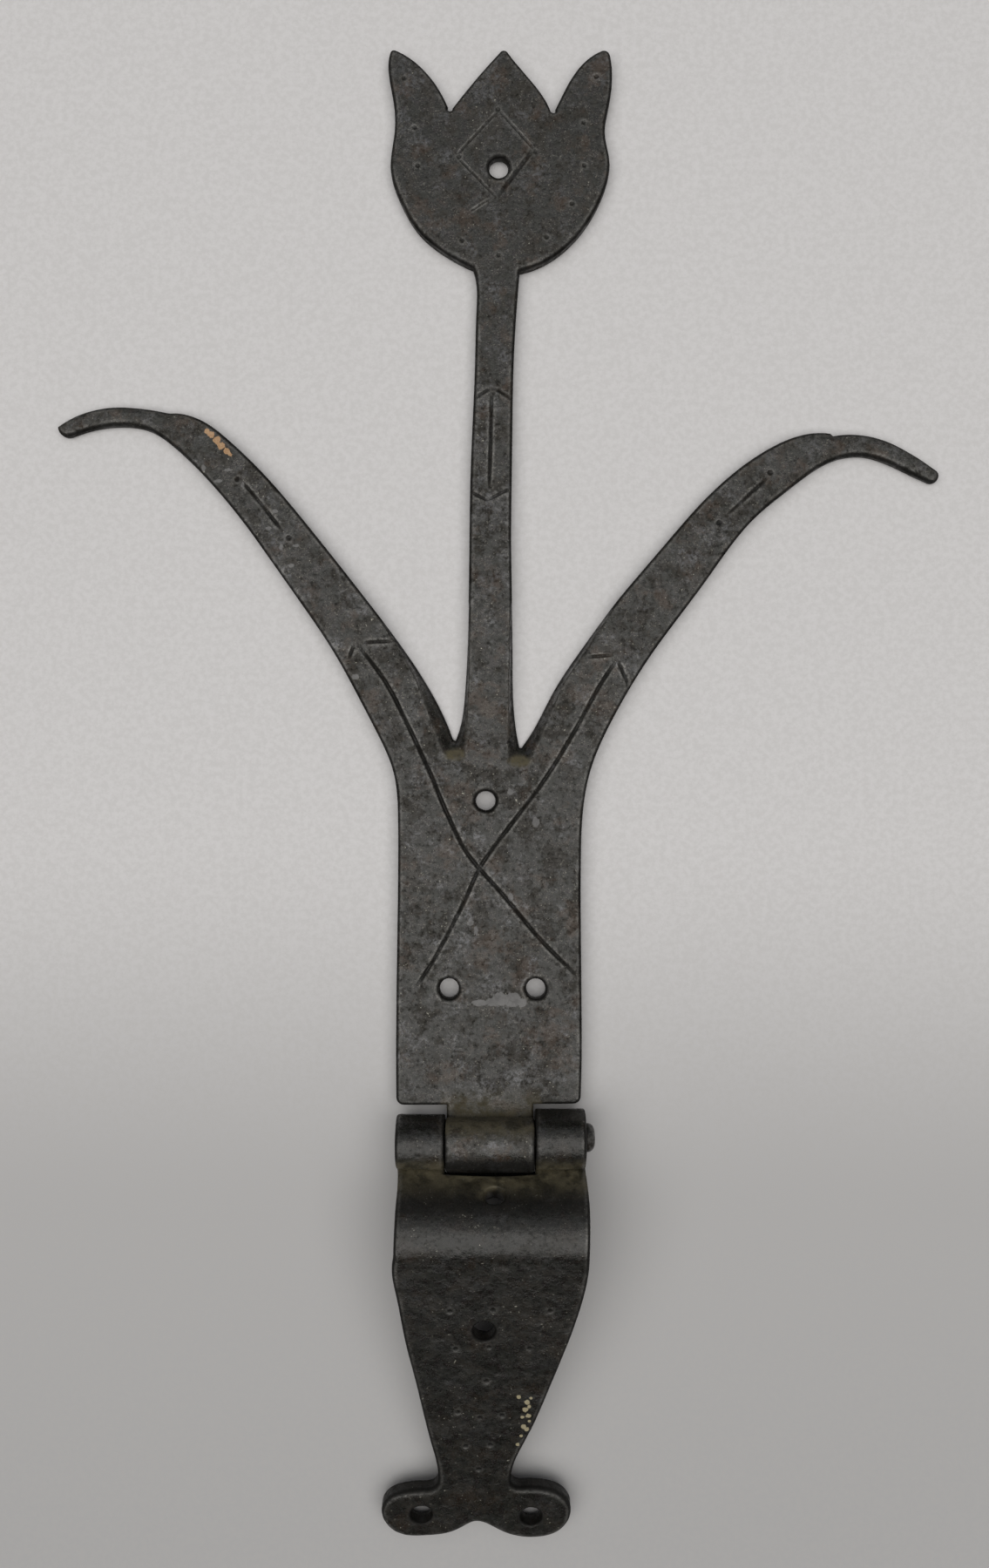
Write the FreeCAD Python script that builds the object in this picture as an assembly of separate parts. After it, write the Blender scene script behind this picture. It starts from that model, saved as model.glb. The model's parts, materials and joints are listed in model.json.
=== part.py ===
import FreeCAD, Part
import math
import os

os.makedirs("parts", exist_ok=True)

V = FreeCAD.Vector

# Frame: Z = 0 is the back plane of the strap, X runs along the pin, the tulip points to +Y.
# All dimensions are in millimetres and degrees.

# pin and barrel
PIN_R = 3.5
PIN_AXIS_Z = 8.6
BARREL_R = 8.6
RUNNING_CLEARANCE = 0.08
HEAD_R = 4.0
HEAD_LENGTH = 2.7
HEAD_OFFSET_Y = 1.0
TAIL_PROUD = 0.5
TAIL_CHAMFER = 0.35
LEFT_END = -26.1
RIGHT_END = 26.1
LEFT_EYE_R = 8.0
LEFT_EYE_Y = -0.6
RIGHT_EYE_R = 8.6
RIGHT_EYE_Y = 0.35
TONGUE_LEFT = -12.4
TONGUE_RIGHT = 11.9
SIDE_GAP = 0.35
NOTCH_GAP = 0.4
SEAM = 0.3

# strap plate, stem, leaves and tulip
STRAP_T = 5.0
TULIP_T = 3.8
LEAF_TIP_T = 2.7
LEAF_THIN_X = 88.0
LEAF_TIP_X = 126.0
TAPER_START_Y = 110.0
TAPER_END_Y = 243.0
PLATE_BOTTOM_LEFT_Y = 8.95
PLATE_BOTTOM_RIGHT_Y = 9.3
PLATE_LEFT_X = -26.55
PLATE_RIGHT_X = 25.2
PLATE_CORNER = 2.0
HOLE_R = 3.0

# cranked leaf
LEAF_T = 5.0
LEG_T = 4.6
FLANGE_SLOPE = 59.0
LEG_SLOPE = 15.0
CREST_R = 12.0
INNER_BEND_R = 7.0
FOOT_END_Y = -111.9

# chisel engraving and punch marks
GROOVE_WIDTH = 0.9
GROOVE_DEPTH = 0.35
DOT_R = 0.8
DOT_DEPTH = 0.45

SMALL = 0.5
WIDE = 80.0


def spline(points):
    curve = Part.BSplineCurve()
    curve.interpolate([V(x, y, 0) for x, y in points])
    return curve.toShape()


def arc(first, middle, last):
    return Part.Arc(V(*first), V(*middle), V(*last)).toShape()


def line(first, last):
    return Part.makeLine(V(*first), V(*last))


def polyline(points):
    closed = list(points) + [points[0]]
    return Part.makePolygon([V(*p) for p in closed])


def prism(edges, height):
    wire = Part.Wire(Part.__sortEdges__(edges))
    return Part.Face(wire).extrude(V(0, 0, height))


def side_prism(edges, x_from, x_to):
    # a profile drawn in the YZ plane, swept along X
    wire = Part.Wire(Part.__sortEdges__(edges))
    body = Part.Face(wire).extrude(V(x_to - x_from, 0, 0))
    body.translate(V(x_from, 0, 0))
    return body


def x_cylinder(radius, x_from, x_to):
    start = V(x_from, 0, PIN_AXIS_Z)
    return Part.makeCylinder(radius, x_to - x_from, start, V(1, 0, 0))


def front_z(y):
    # front face of the strap: full thickness at the plate, drawn out thinner to the tulip
    share = (y - TAPER_START_Y) / (TAPER_END_Y - TAPER_START_Y)
    share = min(1.0, max(0.0, share))
    return STRAP_T - (STRAP_T - TULIP_T) * share


def left_leaf_edges():
    outer = [
        (PLATE_LEFT_X, PLATE_BOTTOM_LEFT_Y + PLATE_CORNER), (-26.5, 40), (-26.1, 70), (-26.1, 90),
        (-27.3, 102), (-33.1, 115.5), (-44.9, 137.2), (-57.3, 155.3), (-69.4, 172.3),
        (-80.7, 185.7), (-89.5, 194.2), (-96.5, 198.8), (-103.3, 200.0), (-110.3, 199.5),
        (-118.5, 197.1),
    ]
    curl = [(-122.4, 199.8), (-117.4, 202.7), (-111.0, 204.7), (-102.5, 205.2), (-90.6, 203.5)]
    inner = [
        (-90.6, 203.5), (-87.0, 203.3), (-81.3, 201.3), (-74.2, 196.1), (-64.3, 186.6),
        (-53.7, 174.4), (-41.0, 158.5), (-29.8, 144.0), (-19.9, 129.9), (-13.2, 117.7),
        (-10.9, 112.0),
    ]
    tip = arc(outer[-1] + (0,), (-121.2, 197.6, 0), curl[0] + (0,))
    return [spline(outer), tip, spline(curl), spline(inner)]


def right_leaf_edges():
    inner = [
        (9.0, 109.7), (12.0, 114.2), (17.9, 125.4), (25.6, 137.0), (35.2, 150.1), (47.3, 164.4),
        (60.2, 179.1), (70.5, 188.2), (80.8, 194.7), (88.5, 197.5), (95.6, 197.8),
    ]
    curl = [(96.4, 197.1), (104.5, 197.4), (112.0, 195.5), (121.2, 190.7), (126.2, 187.2)]
    outer = [
        (123.2, 184.3), (111.8, 189.6), (104.9, 191.5), (97.2, 190.5), (85.1, 182.9),
        (73.9, 173.5), (60.2, 155.8), (44.7, 134.8), (33.5, 115.9), (28.1, 103.3), (25.9, 92),
        (25.25, 78), (25.4, 40), (PLATE_RIGHT_X, PLATE_BOTTOM_RIGHT_Y + PLATE_CORNER),
    ]
    notch = line(inner[-1] + (0,), curl[0] + (0,))
    tip = arc(curl[-1] + (0,), (126.3, 185.2, 0), outer[0] + (0,))
    return [spline(inner), notch, spline(curl), tip, spline(outer)]


def tulip_edges():
    bowl_left = [
        (-5.0, 244.2), (-12.9, 248.4), (-20.0, 254.2), (-25.7, 263.7), (-28.2, 271.8),
        (-27.1, 283.0), (-28.0, 294.5), (-28.9, 300.5), (-28.4, 304.9),
    ]
    petal_left = [(-27.0, 305.6), (-21.5, 302.4), (-16.3, 297.0), (-12.1, 289.6)]
    bud_left = [(-10.8, 289.3), (-4.6, 297.0), (2.4, 304.8)]
    bud_right = [(4.8, 304.8), (9.9, 298.6), (15.6, 291.1), (16.8, 288.5)]
    petal_right = [(18.1, 288.9), (21.9, 296.3), (26.3, 302.2), (31.5, 305.5)]
    bowl_right = [
        (33.5, 304.3), (34.1, 299.0), (33.4, 291.0), (32.1, 282.2), (33.4, 274.0),
        (31.4, 264.9), (26.5, 256.0), (17.4, 247.2), (8.1, 243.4),
    ]
    chain = [bowl_left, petal_left, bud_left, bud_right, petal_right, bowl_right]
    middles = [(-27.9, 305.5), (-11.4, 288.4), (3.5, 305.5), (17.4, 287.9), (32.8, 305.2)]
    edges = [spline(points) for points in chain]
    for before, middle, after in zip(chain, middles, chain[1:]):
        edges.append(arc(before[-1] + (0,), middle + (0,), after[0] + (0,)))
    return edges


def stem_edges():
    left = [
        (-10.0, 111.2), (-8.7, 115.0), (-7.3, 125.0), (-6.5, 140.0), (-6.1, 165.0),
        (-5.6, 190.0), (-4.6, 214.0), (-4.1, 232.0), (-4.3, 241.5), (-5.0, 244.2),
    ]
    right = [
        (8.1, 243.4), (7.4, 235.0), (6.5, 220.0), (6.0, 195.0), (5.7, 165.0), (6.1, 138.0),
        (6.4, 121.0), (7.2, 113.5), (8.0, 109.4),
    ]
    crotch_left = arc((-10.9, 112.0, 0), (-10.4, 111.3, 0), (-10.0, 111.2, 0))
    crotch_right = arc((8.0, 109.4, 0), (8.4, 109.1, 0), (9.0, 109.7, 0))
    return [spline(left), spline(right), crotch_left, crotch_right]


def plate_edges():
    low_left = PLATE_BOTTOM_LEFT_Y
    low_right = PLATE_BOTTOM_RIGHT_Y
    left_start = (PLATE_LEFT_X, low_left + PLATE_CORNER, 0)
    left_end = (PLATE_LEFT_X + PLATE_CORNER, low_left, 0)
    left_mid = (PLATE_LEFT_X + 0.3 * PLATE_CORNER, low_left + 0.3 * PLATE_CORNER, 0)
    right_start = (PLATE_RIGHT_X - PLATE_CORNER, low_right, 0)
    right_end = (PLATE_RIGHT_X, low_right + PLATE_CORNER, 0)
    right_mid = (PLATE_RIGHT_X - 0.3 * PLATE_CORNER, low_right + 0.3 * PLATE_CORNER, 0)
    return [
        arc(left_start, left_mid, left_end),
        line(left_end, right_start),
        arc(right_start, right_mid, right_end),
    ]


def fork_cutter(bottom, top):
    # hot-cut bevel: the gap is wider at the front face than at the back
    low = polyline([(x, y, 0.0) for x, y in bottom])
    high = polyline([(x, y, STRAP_T + 0.02) for x, y in top])
    return Part.makeLoft([low, high], True, True)


def left_fork_cutter():
    bottom = [(-7.0, 150), (-8.0, 125), (-10.3, 112.3), (-13.6, 119.5), (-20.6, 132), (-29.9, 146)]
    top = [(-6.0, 150), (-6.3, 127), (-7.2, 106.3), (-12.9, 106.1), (-21.4, 129.2), (-30.3, 144.3)]
    return fork_cutter(bottom, top)


def right_fork_cutter():
    bottom = [(7.0, 150), (6.9, 122), (8.5, 110.2), (12.2, 115.5), (20.2, 130.4), (33.5, 149)]
    top = [(5.5, 150), (5.0, 124), (4.8, 104.7), (10.6, 104.4), (20.3, 127.0), (34.2, 148)]
    return fork_cutter(bottom, top)


def thickness_envelope():
    profile = [
        (0, -SMALL, 0), (0, 320, 0), (0, 320, TULIP_T), (0, TAPER_END_Y, TULIP_T),
        (0, TAPER_START_Y, STRAP_T), (0, -SMALL, STRAP_T),
    ]
    body = Part.Face(polyline(profile)).extrude(V(4 * WIDE, 0, 0))
    body.translate(V(-2 * WIDE, 0, 0))
    return body.common(leaf_tip_envelope())


def leaf_tip_envelope():
    # the leaves are drawn thinner again over their curled ends
    slope = (front_z(200) - LEAF_TIP_T) / (LEAF_TIP_X - LEAF_THIN_X)
    top = LEAF_TIP_T + slope * LEAF_TIP_X
    far = LEAF_TIP_X + 4
    profile = [(-far, 0, 0), (far, 0, 0), (far, 0, top - slope * far), (0, 0, top),
               (-far, 0, top - slope * far)]
    return Part.Face(polyline(profile)).extrude(V(0, 4 * WIDE, 0)).fuse(
        Part.makeBox(2 * far, WIDE, top, V(-far, -WIDE, 0)))


def groove(first, last, width=GROOVE_WIDTH, depth=GROOVE_DEPTH):
    start = V(first[0], first[1], front_z(first[1]))
    end = V(last[0], last[1], front_z(last[1]))
    along = end - start
    side = V(-along.y, along.x, 0)
    side.normalize()
    above = 0.3
    half = 0.5 * width * (depth + above) / depth
    corners = [
        start + side * half + V(0, 0, above),
        start - side * half + V(0, 0, above),
        start - V(0, 0, depth),
    ]
    wire = Part.makePolygon(corners + [corners[0]])
    return Part.Face(wire).extrude(along)


def chain_of_grooves(points, width=GROOVE_WIDTH, depth=GROOVE_DEPTH):
    return [groove(a, b, width, depth) for a, b in zip(points, points[1:])]


def strap_engraving():
    cross_left = [
        (-37.5, 138.3), (-29.8, 128.0), (-24.4, 117.8), (-17.0, 102.0), (-12.2, 90.5),
        (-6.5, 79.4), (3.6, 67.7), (14.0, 55.3), (24.1, 45.3),
    ]
    cross_right = [
        (35.2, 133.8), (30.4, 126.4), (23.3, 113.6), (14.7, 99.7), (5.3, 87.2), (-2.8, 76.1),
        (-7.5, 66.0), (-15.6, 50.5), (-21.3, 42.6),
    ]
    stem_line = [(0.2, 208.9), (-0.5, 182.1)]
    stem_chevrons = [[(-4.9, 207.2), (0.2, 210.3), (6.2, 207.0)],
                     [(-5.7, 181.0), (-1.0, 178.6), (5.7, 182.2)]]
    heads = [[(-27.4, 139.1), (-36.3, 138.6)], [(-38.4, 138.0), (-39.8, 134.1)],
             [(27.2, 134.6), (34.2, 135.1)], [(35.5, 133.8), (38.8, 126.0)]]
    motifs = [[(-70.0, 184.0), (-58.7, 170.2)], [(77.8, 185.1), (66.2, 174.4)]]
    diamond = [[(2.2, 288.4), (-9.8, 275.5), (1.3, 264.0)], [(2.2, 288.4), (13.0, 276.3)],
               [(0.4, 263.9), (-6.5, 259.5)]]
    tools = []
    for points in [cross_left, cross_right, stem_line] + stem_chevrons + heads + motifs + diamond:
        tools += chain_of_grooves(points)
    tools += chain_of_grooves([(11.8, 277.2), (2.2, 264.6)], 1.3, 0.5)
    return tools


def strap_dots():
    tulip = [
        (-21.5, 283.5), (2.0, 288.6), (-9.0, 275.3), (12.4, 276.8), (-8.2, 251.7), (2.1, 247.6),
        (15.6, 252.7), (22.7, 262.1), (26.2, 272.8), (26.1, 284.9), (29.6, 297.8), (-20.6, 272.8),
        (-24.5, 297.4),
    ]
    leaves = [(-71.2, 184.5), (-56.7, 168.0), (78.4, 186.4), (64.0, 172.3)]
    dots = []
    for x, y in tulip + leaves:
        z = front_z(y)
        dots.append(Part.makeCone(0.25, DOT_R, DOT_DEPTH, V(x, y, z - DOT_DEPTH), V(0, 0, 1)))
    return dots


def nail_hole(x, y):
    return Part.makeCylinder(HOLE_R, STRAP_T + 2 * SMALL, V(x, y, -SMALL), V(0, 0, 1))


def rolled_eye(bore_r, x_from, x_to, outer_r=BARREL_R, centre_y=0.0, centre_z=PIN_AXIS_Z):
    # the leaf's own eyes are rolled a little off the axis of the pin
    roll = Part.makeCylinder(outer_r, x_to - x_from, V(x_from, centre_y, centre_z), V(1, 0, 0))
    return roll.cut(x_cylinder(bore_r, x_from - 1, x_to + 1))


def strap_tongue():
    corners = [
        (0, 0, 0), (0, PLATE_BOTTOM_RIGHT_Y + SMALL, 0),
        (0, PLATE_BOTTOM_RIGHT_Y + SMALL, STRAP_T), (0, 0, STRAP_T),
    ]
    body = Part.Face(polyline(corners)).extrude(V(TONGUE_RIGHT - TONGUE_LEFT, 0, 0))
    body.translate(V(TONGUE_LEFT, 0, 0))
    return body


def strap_seam():
    # the end of the roll comes down on the front of the tongue and leaves a thin gap
    slit = Part.makeBox(TONGUE_RIGHT - TONGUE_LEFT + 2, BARREL_R, SEAM)
    slit.translate(V(TONGUE_LEFT - 1, SMALL, STRAP_T))
    return slit


def tulip_strap():
    edges = left_leaf_edges() + right_leaf_edges() + tulip_edges() + stem_edges() + plate_edges()
    body = prism(edges, STRAP_T)
    body = body.common(thickness_envelope())
    eye = rolled_eye(PIN_R + RUNNING_CLEARANCE, TONGUE_LEFT, TONGUE_RIGHT)
    tongue = strap_tongue().cut(x_cylinder(PIN_R + RUNNING_CLEARANCE, TONGUE_LEFT - 1, TONGUE_RIGHT + 1))
    body = body.fuse([eye.cut(strap_seam()), tongue]).removeSplitter()
    body = body.cut(left_fork_cutter()).cut(right_fork_cutter())
    for x, y in [(2.2, 272.3), (-1.5, 94.3), (-11.7, 41.6), (12.6, 41.6)]:
        body = body.cut(nail_hole(x, y))
    return body.cut(strap_engraving() + strap_dots())


def unit(angle):
    # a direction in the YZ plane that rises toward -Y
    a = math.radians(angle)
    return V(0, -math.cos(a), math.sin(a))


def toward_back(angle):
    a = math.radians(angle)
    return V(0, -math.sin(a), -math.cos(a))


def crossing(p, d, q, e):
    # where the line p + t d meets the line q + u e, both in the YZ plane
    t = ((q.y - p.y) * e.z - (q.z - p.z) * e.y) / (d.y * e.z - d.z * e.y)
    return p + d * t


def rounded(corner, toward_a, toward_b, radius):
    # tangent points and middle of the arc that rounds a corner of the profile
    half = 0.5 * toward_a.getAngle(toward_b)
    reach = radius / math.tan(half)
    bisector = (toward_a + toward_b).normalize()
    centre = corner + bisector * (radius / math.sin(half))
    return corner + toward_a * reach, centre - bisector * radius, corner + toward_b * reach


def leaf_lines():
    axis = V(0, 0, PIN_AXIS_Z)
    rise = unit(FLANGE_SLOPE)
    fall = unit(-LEG_SLOPE)
    back_n = toward_back(FLANGE_SLOPE)
    leg_back_n = toward_back(-LEG_SLOPE)
    flange_back = axis + back_n * BARREL_R
    flange_front = flange_back - back_n * LEAF_T
    leg_back = V(0, FOOT_END_Y, 0)
    leg_front = leg_back - leg_back_n * LEG_T
    crest = crossing(flange_front, rise, leg_front, fall)
    elbow = crossing(flange_back, rise, leg_back, fall)
    return flange_front, flange_back, crest, elbow, rise, fall, leg_back_n


def flange_and_bend():
    front, back, crest, elbow, rise, fall, leg_back_n = leaf_lines()
    a1, a2, a3 = rounded(crest, rise * -1, fall, CREST_R)
    b1, b2, b3 = rounded(elbow, rise * -1, fall, INNER_BEND_R)
    b4 = a3 + leg_back_n * LEG_T
    edges = [
        line(front, a1), arc(a1, a2, a3), line(a3, b4), line(b4, b3), arc(b3, b2, b1),
        line(b1, back), line(back, front),
    ]
    body = side_prism(edges, -WIDE, WIDE)
    return body.common(flange_width())


def flange_width():
    # plan outline of the barrel end, flange and bend
    left = [(LEFT_END, 10), (-25.5, -7), (-25.4, -17), (-25.5, -22), (-26.0, -29)]
    right = [(25.9, -29), (26.3, -22), (26.4, -16), (25.8, -8), (RIGHT_END, 10)]
    edges = [spline(left), spline(right), line(left[-1] + (0,), right[0] + (0,))]
    edges.append(line(right[-1] + (0,), left[0] + (0,)))
    body = prism(edges, 3 * BARREL_R + LEAF_T)
    body.translate(V(0, 0, -SMALL))
    return body


def leg_join_y():
    front, back, crest, elbow, rise, fall, leg_back_n = leaf_lines()
    return rounded(crest, rise * -1, fall, CREST_R)[2]


def leg_and_foot():
    # drawn in plan on the front face, then laid on the slope of the leg
    join = leg_join_y()
    left = [
        (-25.7, join.y), (-26.1, -31.0), (-25.1, -37.3), (-23.2, -49.4), (-20.0, -65.1),
        (-16.3, -82.9), (-14.6, -91.5), (-15.2, -95.9), (-18.3, -97.3),
    ]
    lobes = [
        (-18.3, -97.3), (-24.3, -97.9), (-28.6, -100.0), (-30.5, -103.6), (-29.3, -108.6),
        (-25.0, -111.9), (-18.5, -112.3), (-12.0, -111.2), (-7.9, -109.3), (-4.2, -107.5),
        (-0.4, -108.7), (4.3, -111.5), (11.4, -112.8), (17.9, -111.4), (21.6, -107.5),
        (22.2, -103.0), (20.2, -99.3), (16.0, -97.1), (8.8, -96.6),
    ]
    right = [
        (8.8, -96.6), (5.8, -95.4), (5.6, -92.6), (10.0, -80.4), (17.9, -59.4), (21.4, -49.4),
        (24.6, -38.0), (25.8, -31.5), (26.1, join.y),
    ]
    slope = math.radians(LEG_SLOPE)

    def laid(points):
        return [(x, (y - join.y) / math.cos(slope)) for x, y in points]

    edges = [spline(laid(p)) for p in (left, lobes, right)]
    edges.append(line(laid(right)[-1] + (0,), laid(left)[0] + (0,)))
    body = prism(edges, -LEG_T)
    body.rotate(V(0, 0, 0), V(1, 0, 0), LEG_SLOPE)
    body.translate(join)
    return body


def leaf_seam(x_from, x_to):
    # the rolled end closes against the flange in the valley at the front
    front, back, crest, elbow, rise, fall, leg_back_n = leaf_lines()
    tuck = toward_back(FLANGE_SLOPE) * -SEAM
    start = front + rise * SMALL
    end = start + rise * (BARREL_R + 1)
    edges = [line(start, end), line(end, end + tuck), line(end + tuck, start + tuck)]
    edges.append(line(start + tuck, start))
    return side_prism(edges, x_from, x_to)


def leaf_hole(x, y, front, slope_back_n):
    # bored square to the face it stands on; front is a point of that face
    return Part.makeCylinder(HOLE_R, LEAF_T + 2, V(x, y, front) - slope_back_n, slope_back_n)


def leg_face_z(y):
    join = leg_join_y()
    return join.z + (y - join.y) * math.tan(math.radians(LEG_SLOPE))


def flange_face_z(y):
    front = leaf_lines()[0]
    return front.z + (front.y - y) * math.tan(math.radians(FLANGE_SLOPE))


def leaf_dots():
    spots = [
        (-10.8, -41.2), (0.6, -40.8), (15.8, -41.1), (-9.4, -52.6), (-0.5, -52.0), (10.4, -52.4),
        (-1.2, -62.5), (-8.9, -72.0), (-3.0, -73.8), (3.1, -73.0), (-6.9, -82.6), (-0.1, -82.4),
        (-3.3, -90.0),
    ]
    axis = toward_back(-LEG_SLOPE) * -1
    dots = []
    for x, y in spots:
        base = V(x, y, leg_face_z(y)) - axis * DOT_DEPTH
        dots.append(Part.makeCone(0.25, DOT_R, DOT_DEPTH, base, axis))
    return dots


def leaf_notch():
    # room for the strap's eye and for its tongue when the hinge folds back
    low = TONGUE_LEFT - SIDE_GAP
    high = TONGUE_RIGHT + SIDE_GAP
    return x_cylinder(BARREL_R + NOTCH_GAP, low, high)


def cranked_leaf():
    body = flange_and_bend().fuse(leg_and_foot())
    left_eye = rolled_eye(PIN_R, LEFT_END, TONGUE_LEFT - SIDE_GAP, LEFT_EYE_R, LEFT_EYE_Y)
    right_eye = rolled_eye(PIN_R, TONGUE_RIGHT + SIDE_GAP, RIGHT_END, RIGHT_EYE_R, RIGHT_EYE_Y)
    body = body.cut(leaf_notch())
    body = body.cut(x_cylinder(PIN_R, -WIDE, WIDE))
    body = body.fuse([left_eye, right_eye])
    body = body.cut(leaf_seam(LEFT_END - 1, RIGHT_END + 1))
    flange_n = toward_back(FLANGE_SLOPE)
    leg_n = toward_back(-LEG_SLOPE)
    body = body.cut(leaf_hole(1.0, -11.2, flange_face_z(-11.2), flange_n))
    for x, y in [(-1.8, -47.2), (-19.4, -104.9), (11.2, -105.5)]:
        body = body.cut(leaf_hole(x, y, leg_face_z(y), leg_n))
    return body.cut(leaf_dots())


def domed_head():
    # a short collar with a spherical cap, as left by the rivet set
    collar = 0.2 * HEAD_LENGTH
    cap = HEAD_LENGTH - collar
    ball_r = (HEAD_R ** 2 + cap ** 2) / (2 * cap)
    ball = Part.makeSphere(ball_r, V(RIGHT_END + HEAD_LENGTH - ball_r, 0, PIN_AXIS_Z))
    head = x_cylinder(HEAD_R, RIGHT_END, RIGHT_END + HEAD_LENGTH).common(ball)
    head.translate(V(0, HEAD_OFFSET_Y, 0))
    return head


def hinge_pin():
    tail = LEFT_END - TAIL_PROUD
    start = V(tail, 0, PIN_AXIS_Z)
    peened = Part.makeCone(PIN_R - TAIL_CHAMFER, PIN_R, TAIL_CHAMFER, start, V(1, 0, 0))
    shank = x_cylinder(PIN_R, tail + TAIL_CHAMFER, RIGHT_END)
    return shank.fuse([peened, domed_head()]).removeSplitter()


def save(name, shape):
    solid = shape.Solids[0] if len(shape.Solids) == 1 else shape
    solid.exportStep("parts/" + name + ".step")
    box = solid.BoundBox
    sizes = "x %.1f..%.1f y %.1f..%.1f z %.2f..%.2f" % (
        box.XMin, box.XMax, box.YMin, box.YMax, box.ZMin, box.ZMax)
    print(name, len(shape.Solids), "solid", solid.isValid(), "%.0f mm3" % solid.Volume, sizes)


save("tulip_strap", tulip_strap())
save("cranked_leaf", cranked_leaf())
save("hinge_pin", hinge_pin())
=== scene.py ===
import json
import math

import bpy
import numpy as np
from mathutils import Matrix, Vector, geometry, kdtree


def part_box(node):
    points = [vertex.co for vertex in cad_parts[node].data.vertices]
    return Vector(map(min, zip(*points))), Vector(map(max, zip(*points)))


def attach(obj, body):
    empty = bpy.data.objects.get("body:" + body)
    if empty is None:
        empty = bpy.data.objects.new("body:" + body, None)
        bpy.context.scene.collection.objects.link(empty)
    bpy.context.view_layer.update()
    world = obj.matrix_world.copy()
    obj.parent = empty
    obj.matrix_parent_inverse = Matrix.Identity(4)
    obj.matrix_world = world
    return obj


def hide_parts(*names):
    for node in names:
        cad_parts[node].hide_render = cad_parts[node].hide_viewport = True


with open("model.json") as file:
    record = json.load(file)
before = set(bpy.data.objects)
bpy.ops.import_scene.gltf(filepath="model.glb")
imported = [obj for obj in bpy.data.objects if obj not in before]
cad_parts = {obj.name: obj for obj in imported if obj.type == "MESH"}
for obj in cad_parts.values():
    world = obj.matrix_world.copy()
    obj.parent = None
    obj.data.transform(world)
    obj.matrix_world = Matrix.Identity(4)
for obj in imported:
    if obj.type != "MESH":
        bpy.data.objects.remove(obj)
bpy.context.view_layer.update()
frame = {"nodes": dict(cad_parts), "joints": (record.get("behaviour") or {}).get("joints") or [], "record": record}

# Lengths in this script are millimetres until a mesh, lamp or camera is made.
MM = 0.001

# Each forging is drawn as a flattened sheet: x runs along the pin, s along the sheet, and
# h is the height above its back face. Rolling and bending then put the sheet in place.
# s is 0 where a sheet leaves its barrel, and below 0 inside the roll.

# barrel and pin
BARREL_R = 8.6
BORE_R = 3.6
SEAM_LEVEL = 3.45
ROLL_START = math.radians(200)
ROLL_END = math.radians(292.5)
SCARF = 2.1
PIN_R = 3.5
ROD_CLEARANCE = 0.02
PIN_SIDES = 64
HEAD_R = 3.96
HEAD_LENGTH = 2.7
HEAD_OFFSET_Y = 1.0

# leaf notch, its two eyes (radius, centre off the pin axis), crest
NOTCH_R = 9.0
NOTCH_EASE = 6.0
LEFT_EYE = (8.0, -0.6)
RIGHT_EYE = (8.6, 0.35)
CREST_R = 12.0

# mesh spacing
RIM_STEP = 0.7
STRAP_STEP = 0.7
LEAF_STEP = 0.6
BACK_STEP = 1.5
FINE_STEP = 0.36
RING_OFFSETS = (0.1, 0.28, 0.55, 0.95)
WALL_ROWS = 5

# surface
SKIN = 0.07
LIP_HEIGHT = 0.06
ARRIS_R = 0.85
BACK_ARRIS_R = 0.35
HOLE_ARRIS_R = 0.5
HIDDEN_ARRIS_R = 0.12
HIDDEN_SKIN = 0.02
# painted shade: how dark the side walls and the nail holes' walls are painted
WALL_SHADE = 0.55
HOLE_WAIST = 0.3
GROOVE_ROWS = (-0.8, -0.52, -0.3, -0.12, 0.12, 0.3, 0.52, 0.8)


# ---------------------------------------------------------------- places taken from the frame

MOUNTS = {m["name"]: m for m in frame["record"]["mounts"]}


def mount_at(name):
    return np.array(MOUNTS[name]["pos_m"]) / MM


def mount_axis(name):
    return np.array(MOUNTS[name]["axis"], float)


def mount_length(name):
    return MOUNTS[name]["dims"]["length_mm"]


AXIS = np.array(frame["joints"][0]["pos_m"]) / MM
HOLE_R = MOUNTS["fork_nail_hole"]["dims"]["r_mm"]
PLATE_T = mount_length("fork_nail_hole")
TULIP_T = mount_length("tulip_nail_hole")
LEAF_T = mount_length("flange_nail_hole")
LEG_T = mount_length("leg_nail_hole")


def plate_holes():
    centre = mount_at("plate_nail_pair")
    half = 0.5 * MOUNTS["plate_nail_pair"]["dims"]["spacing_x_mm"]
    return [(centre[0] - half, centre[1]), (centre[0] + half, centre[1])]


# ---------------------------------------------------------------- small numeric tools

NOISE = np.random.default_rng(11).uniform(-1, 1, (256, 256))


def noise(points, size, shift=0.0):
    """Smooth noise from -1 to 1, with lumps about that many millimetres across."""
    grid = points / size + np.array([17.3, 41.9]) * (1 + shift)
    cell = np.floor(grid).astype(int)
    part = grid - cell
    part = part * part * (3 - 2 * part)
    x, y = cell[:, 0] % 255, cell[:, 1] % 255
    low = NOISE[x, y] * (1 - part[:, 0]) + NOISE[x + 1, y] * part[:, 0]
    high = NOISE[x, y + 1] * (1 - part[:, 0]) + NOISE[x + 1, y + 1] * part[:, 0]
    return low * (1 - part[:, 1]) + high * part[:, 1]


def smooth(value, start, end):
    """0 before start, 1 after end, and an S-curve between them."""
    t = np.clip((value - start) / (end - start), 0, 1)
    return t * t * (3 - 2 * t)


def fall(value, start, end):
    """1 before start, 0 after end, and an S-curve between them."""
    return smooth(-value, -end, -start)


def tree_of(points):
    tree = kdtree.KDTree(len(points))
    for i, (x, s) in enumerate(points):
        tree.insert((x, s, 0), i)
    tree.balance()
    return tree


def nearest(tree, points):
    found = [tree.find((x, s, 0)) for x, s in points]
    index = np.array([f[1] for f in found], int)
    return index, np.array([f[2] for f in found])


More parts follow.
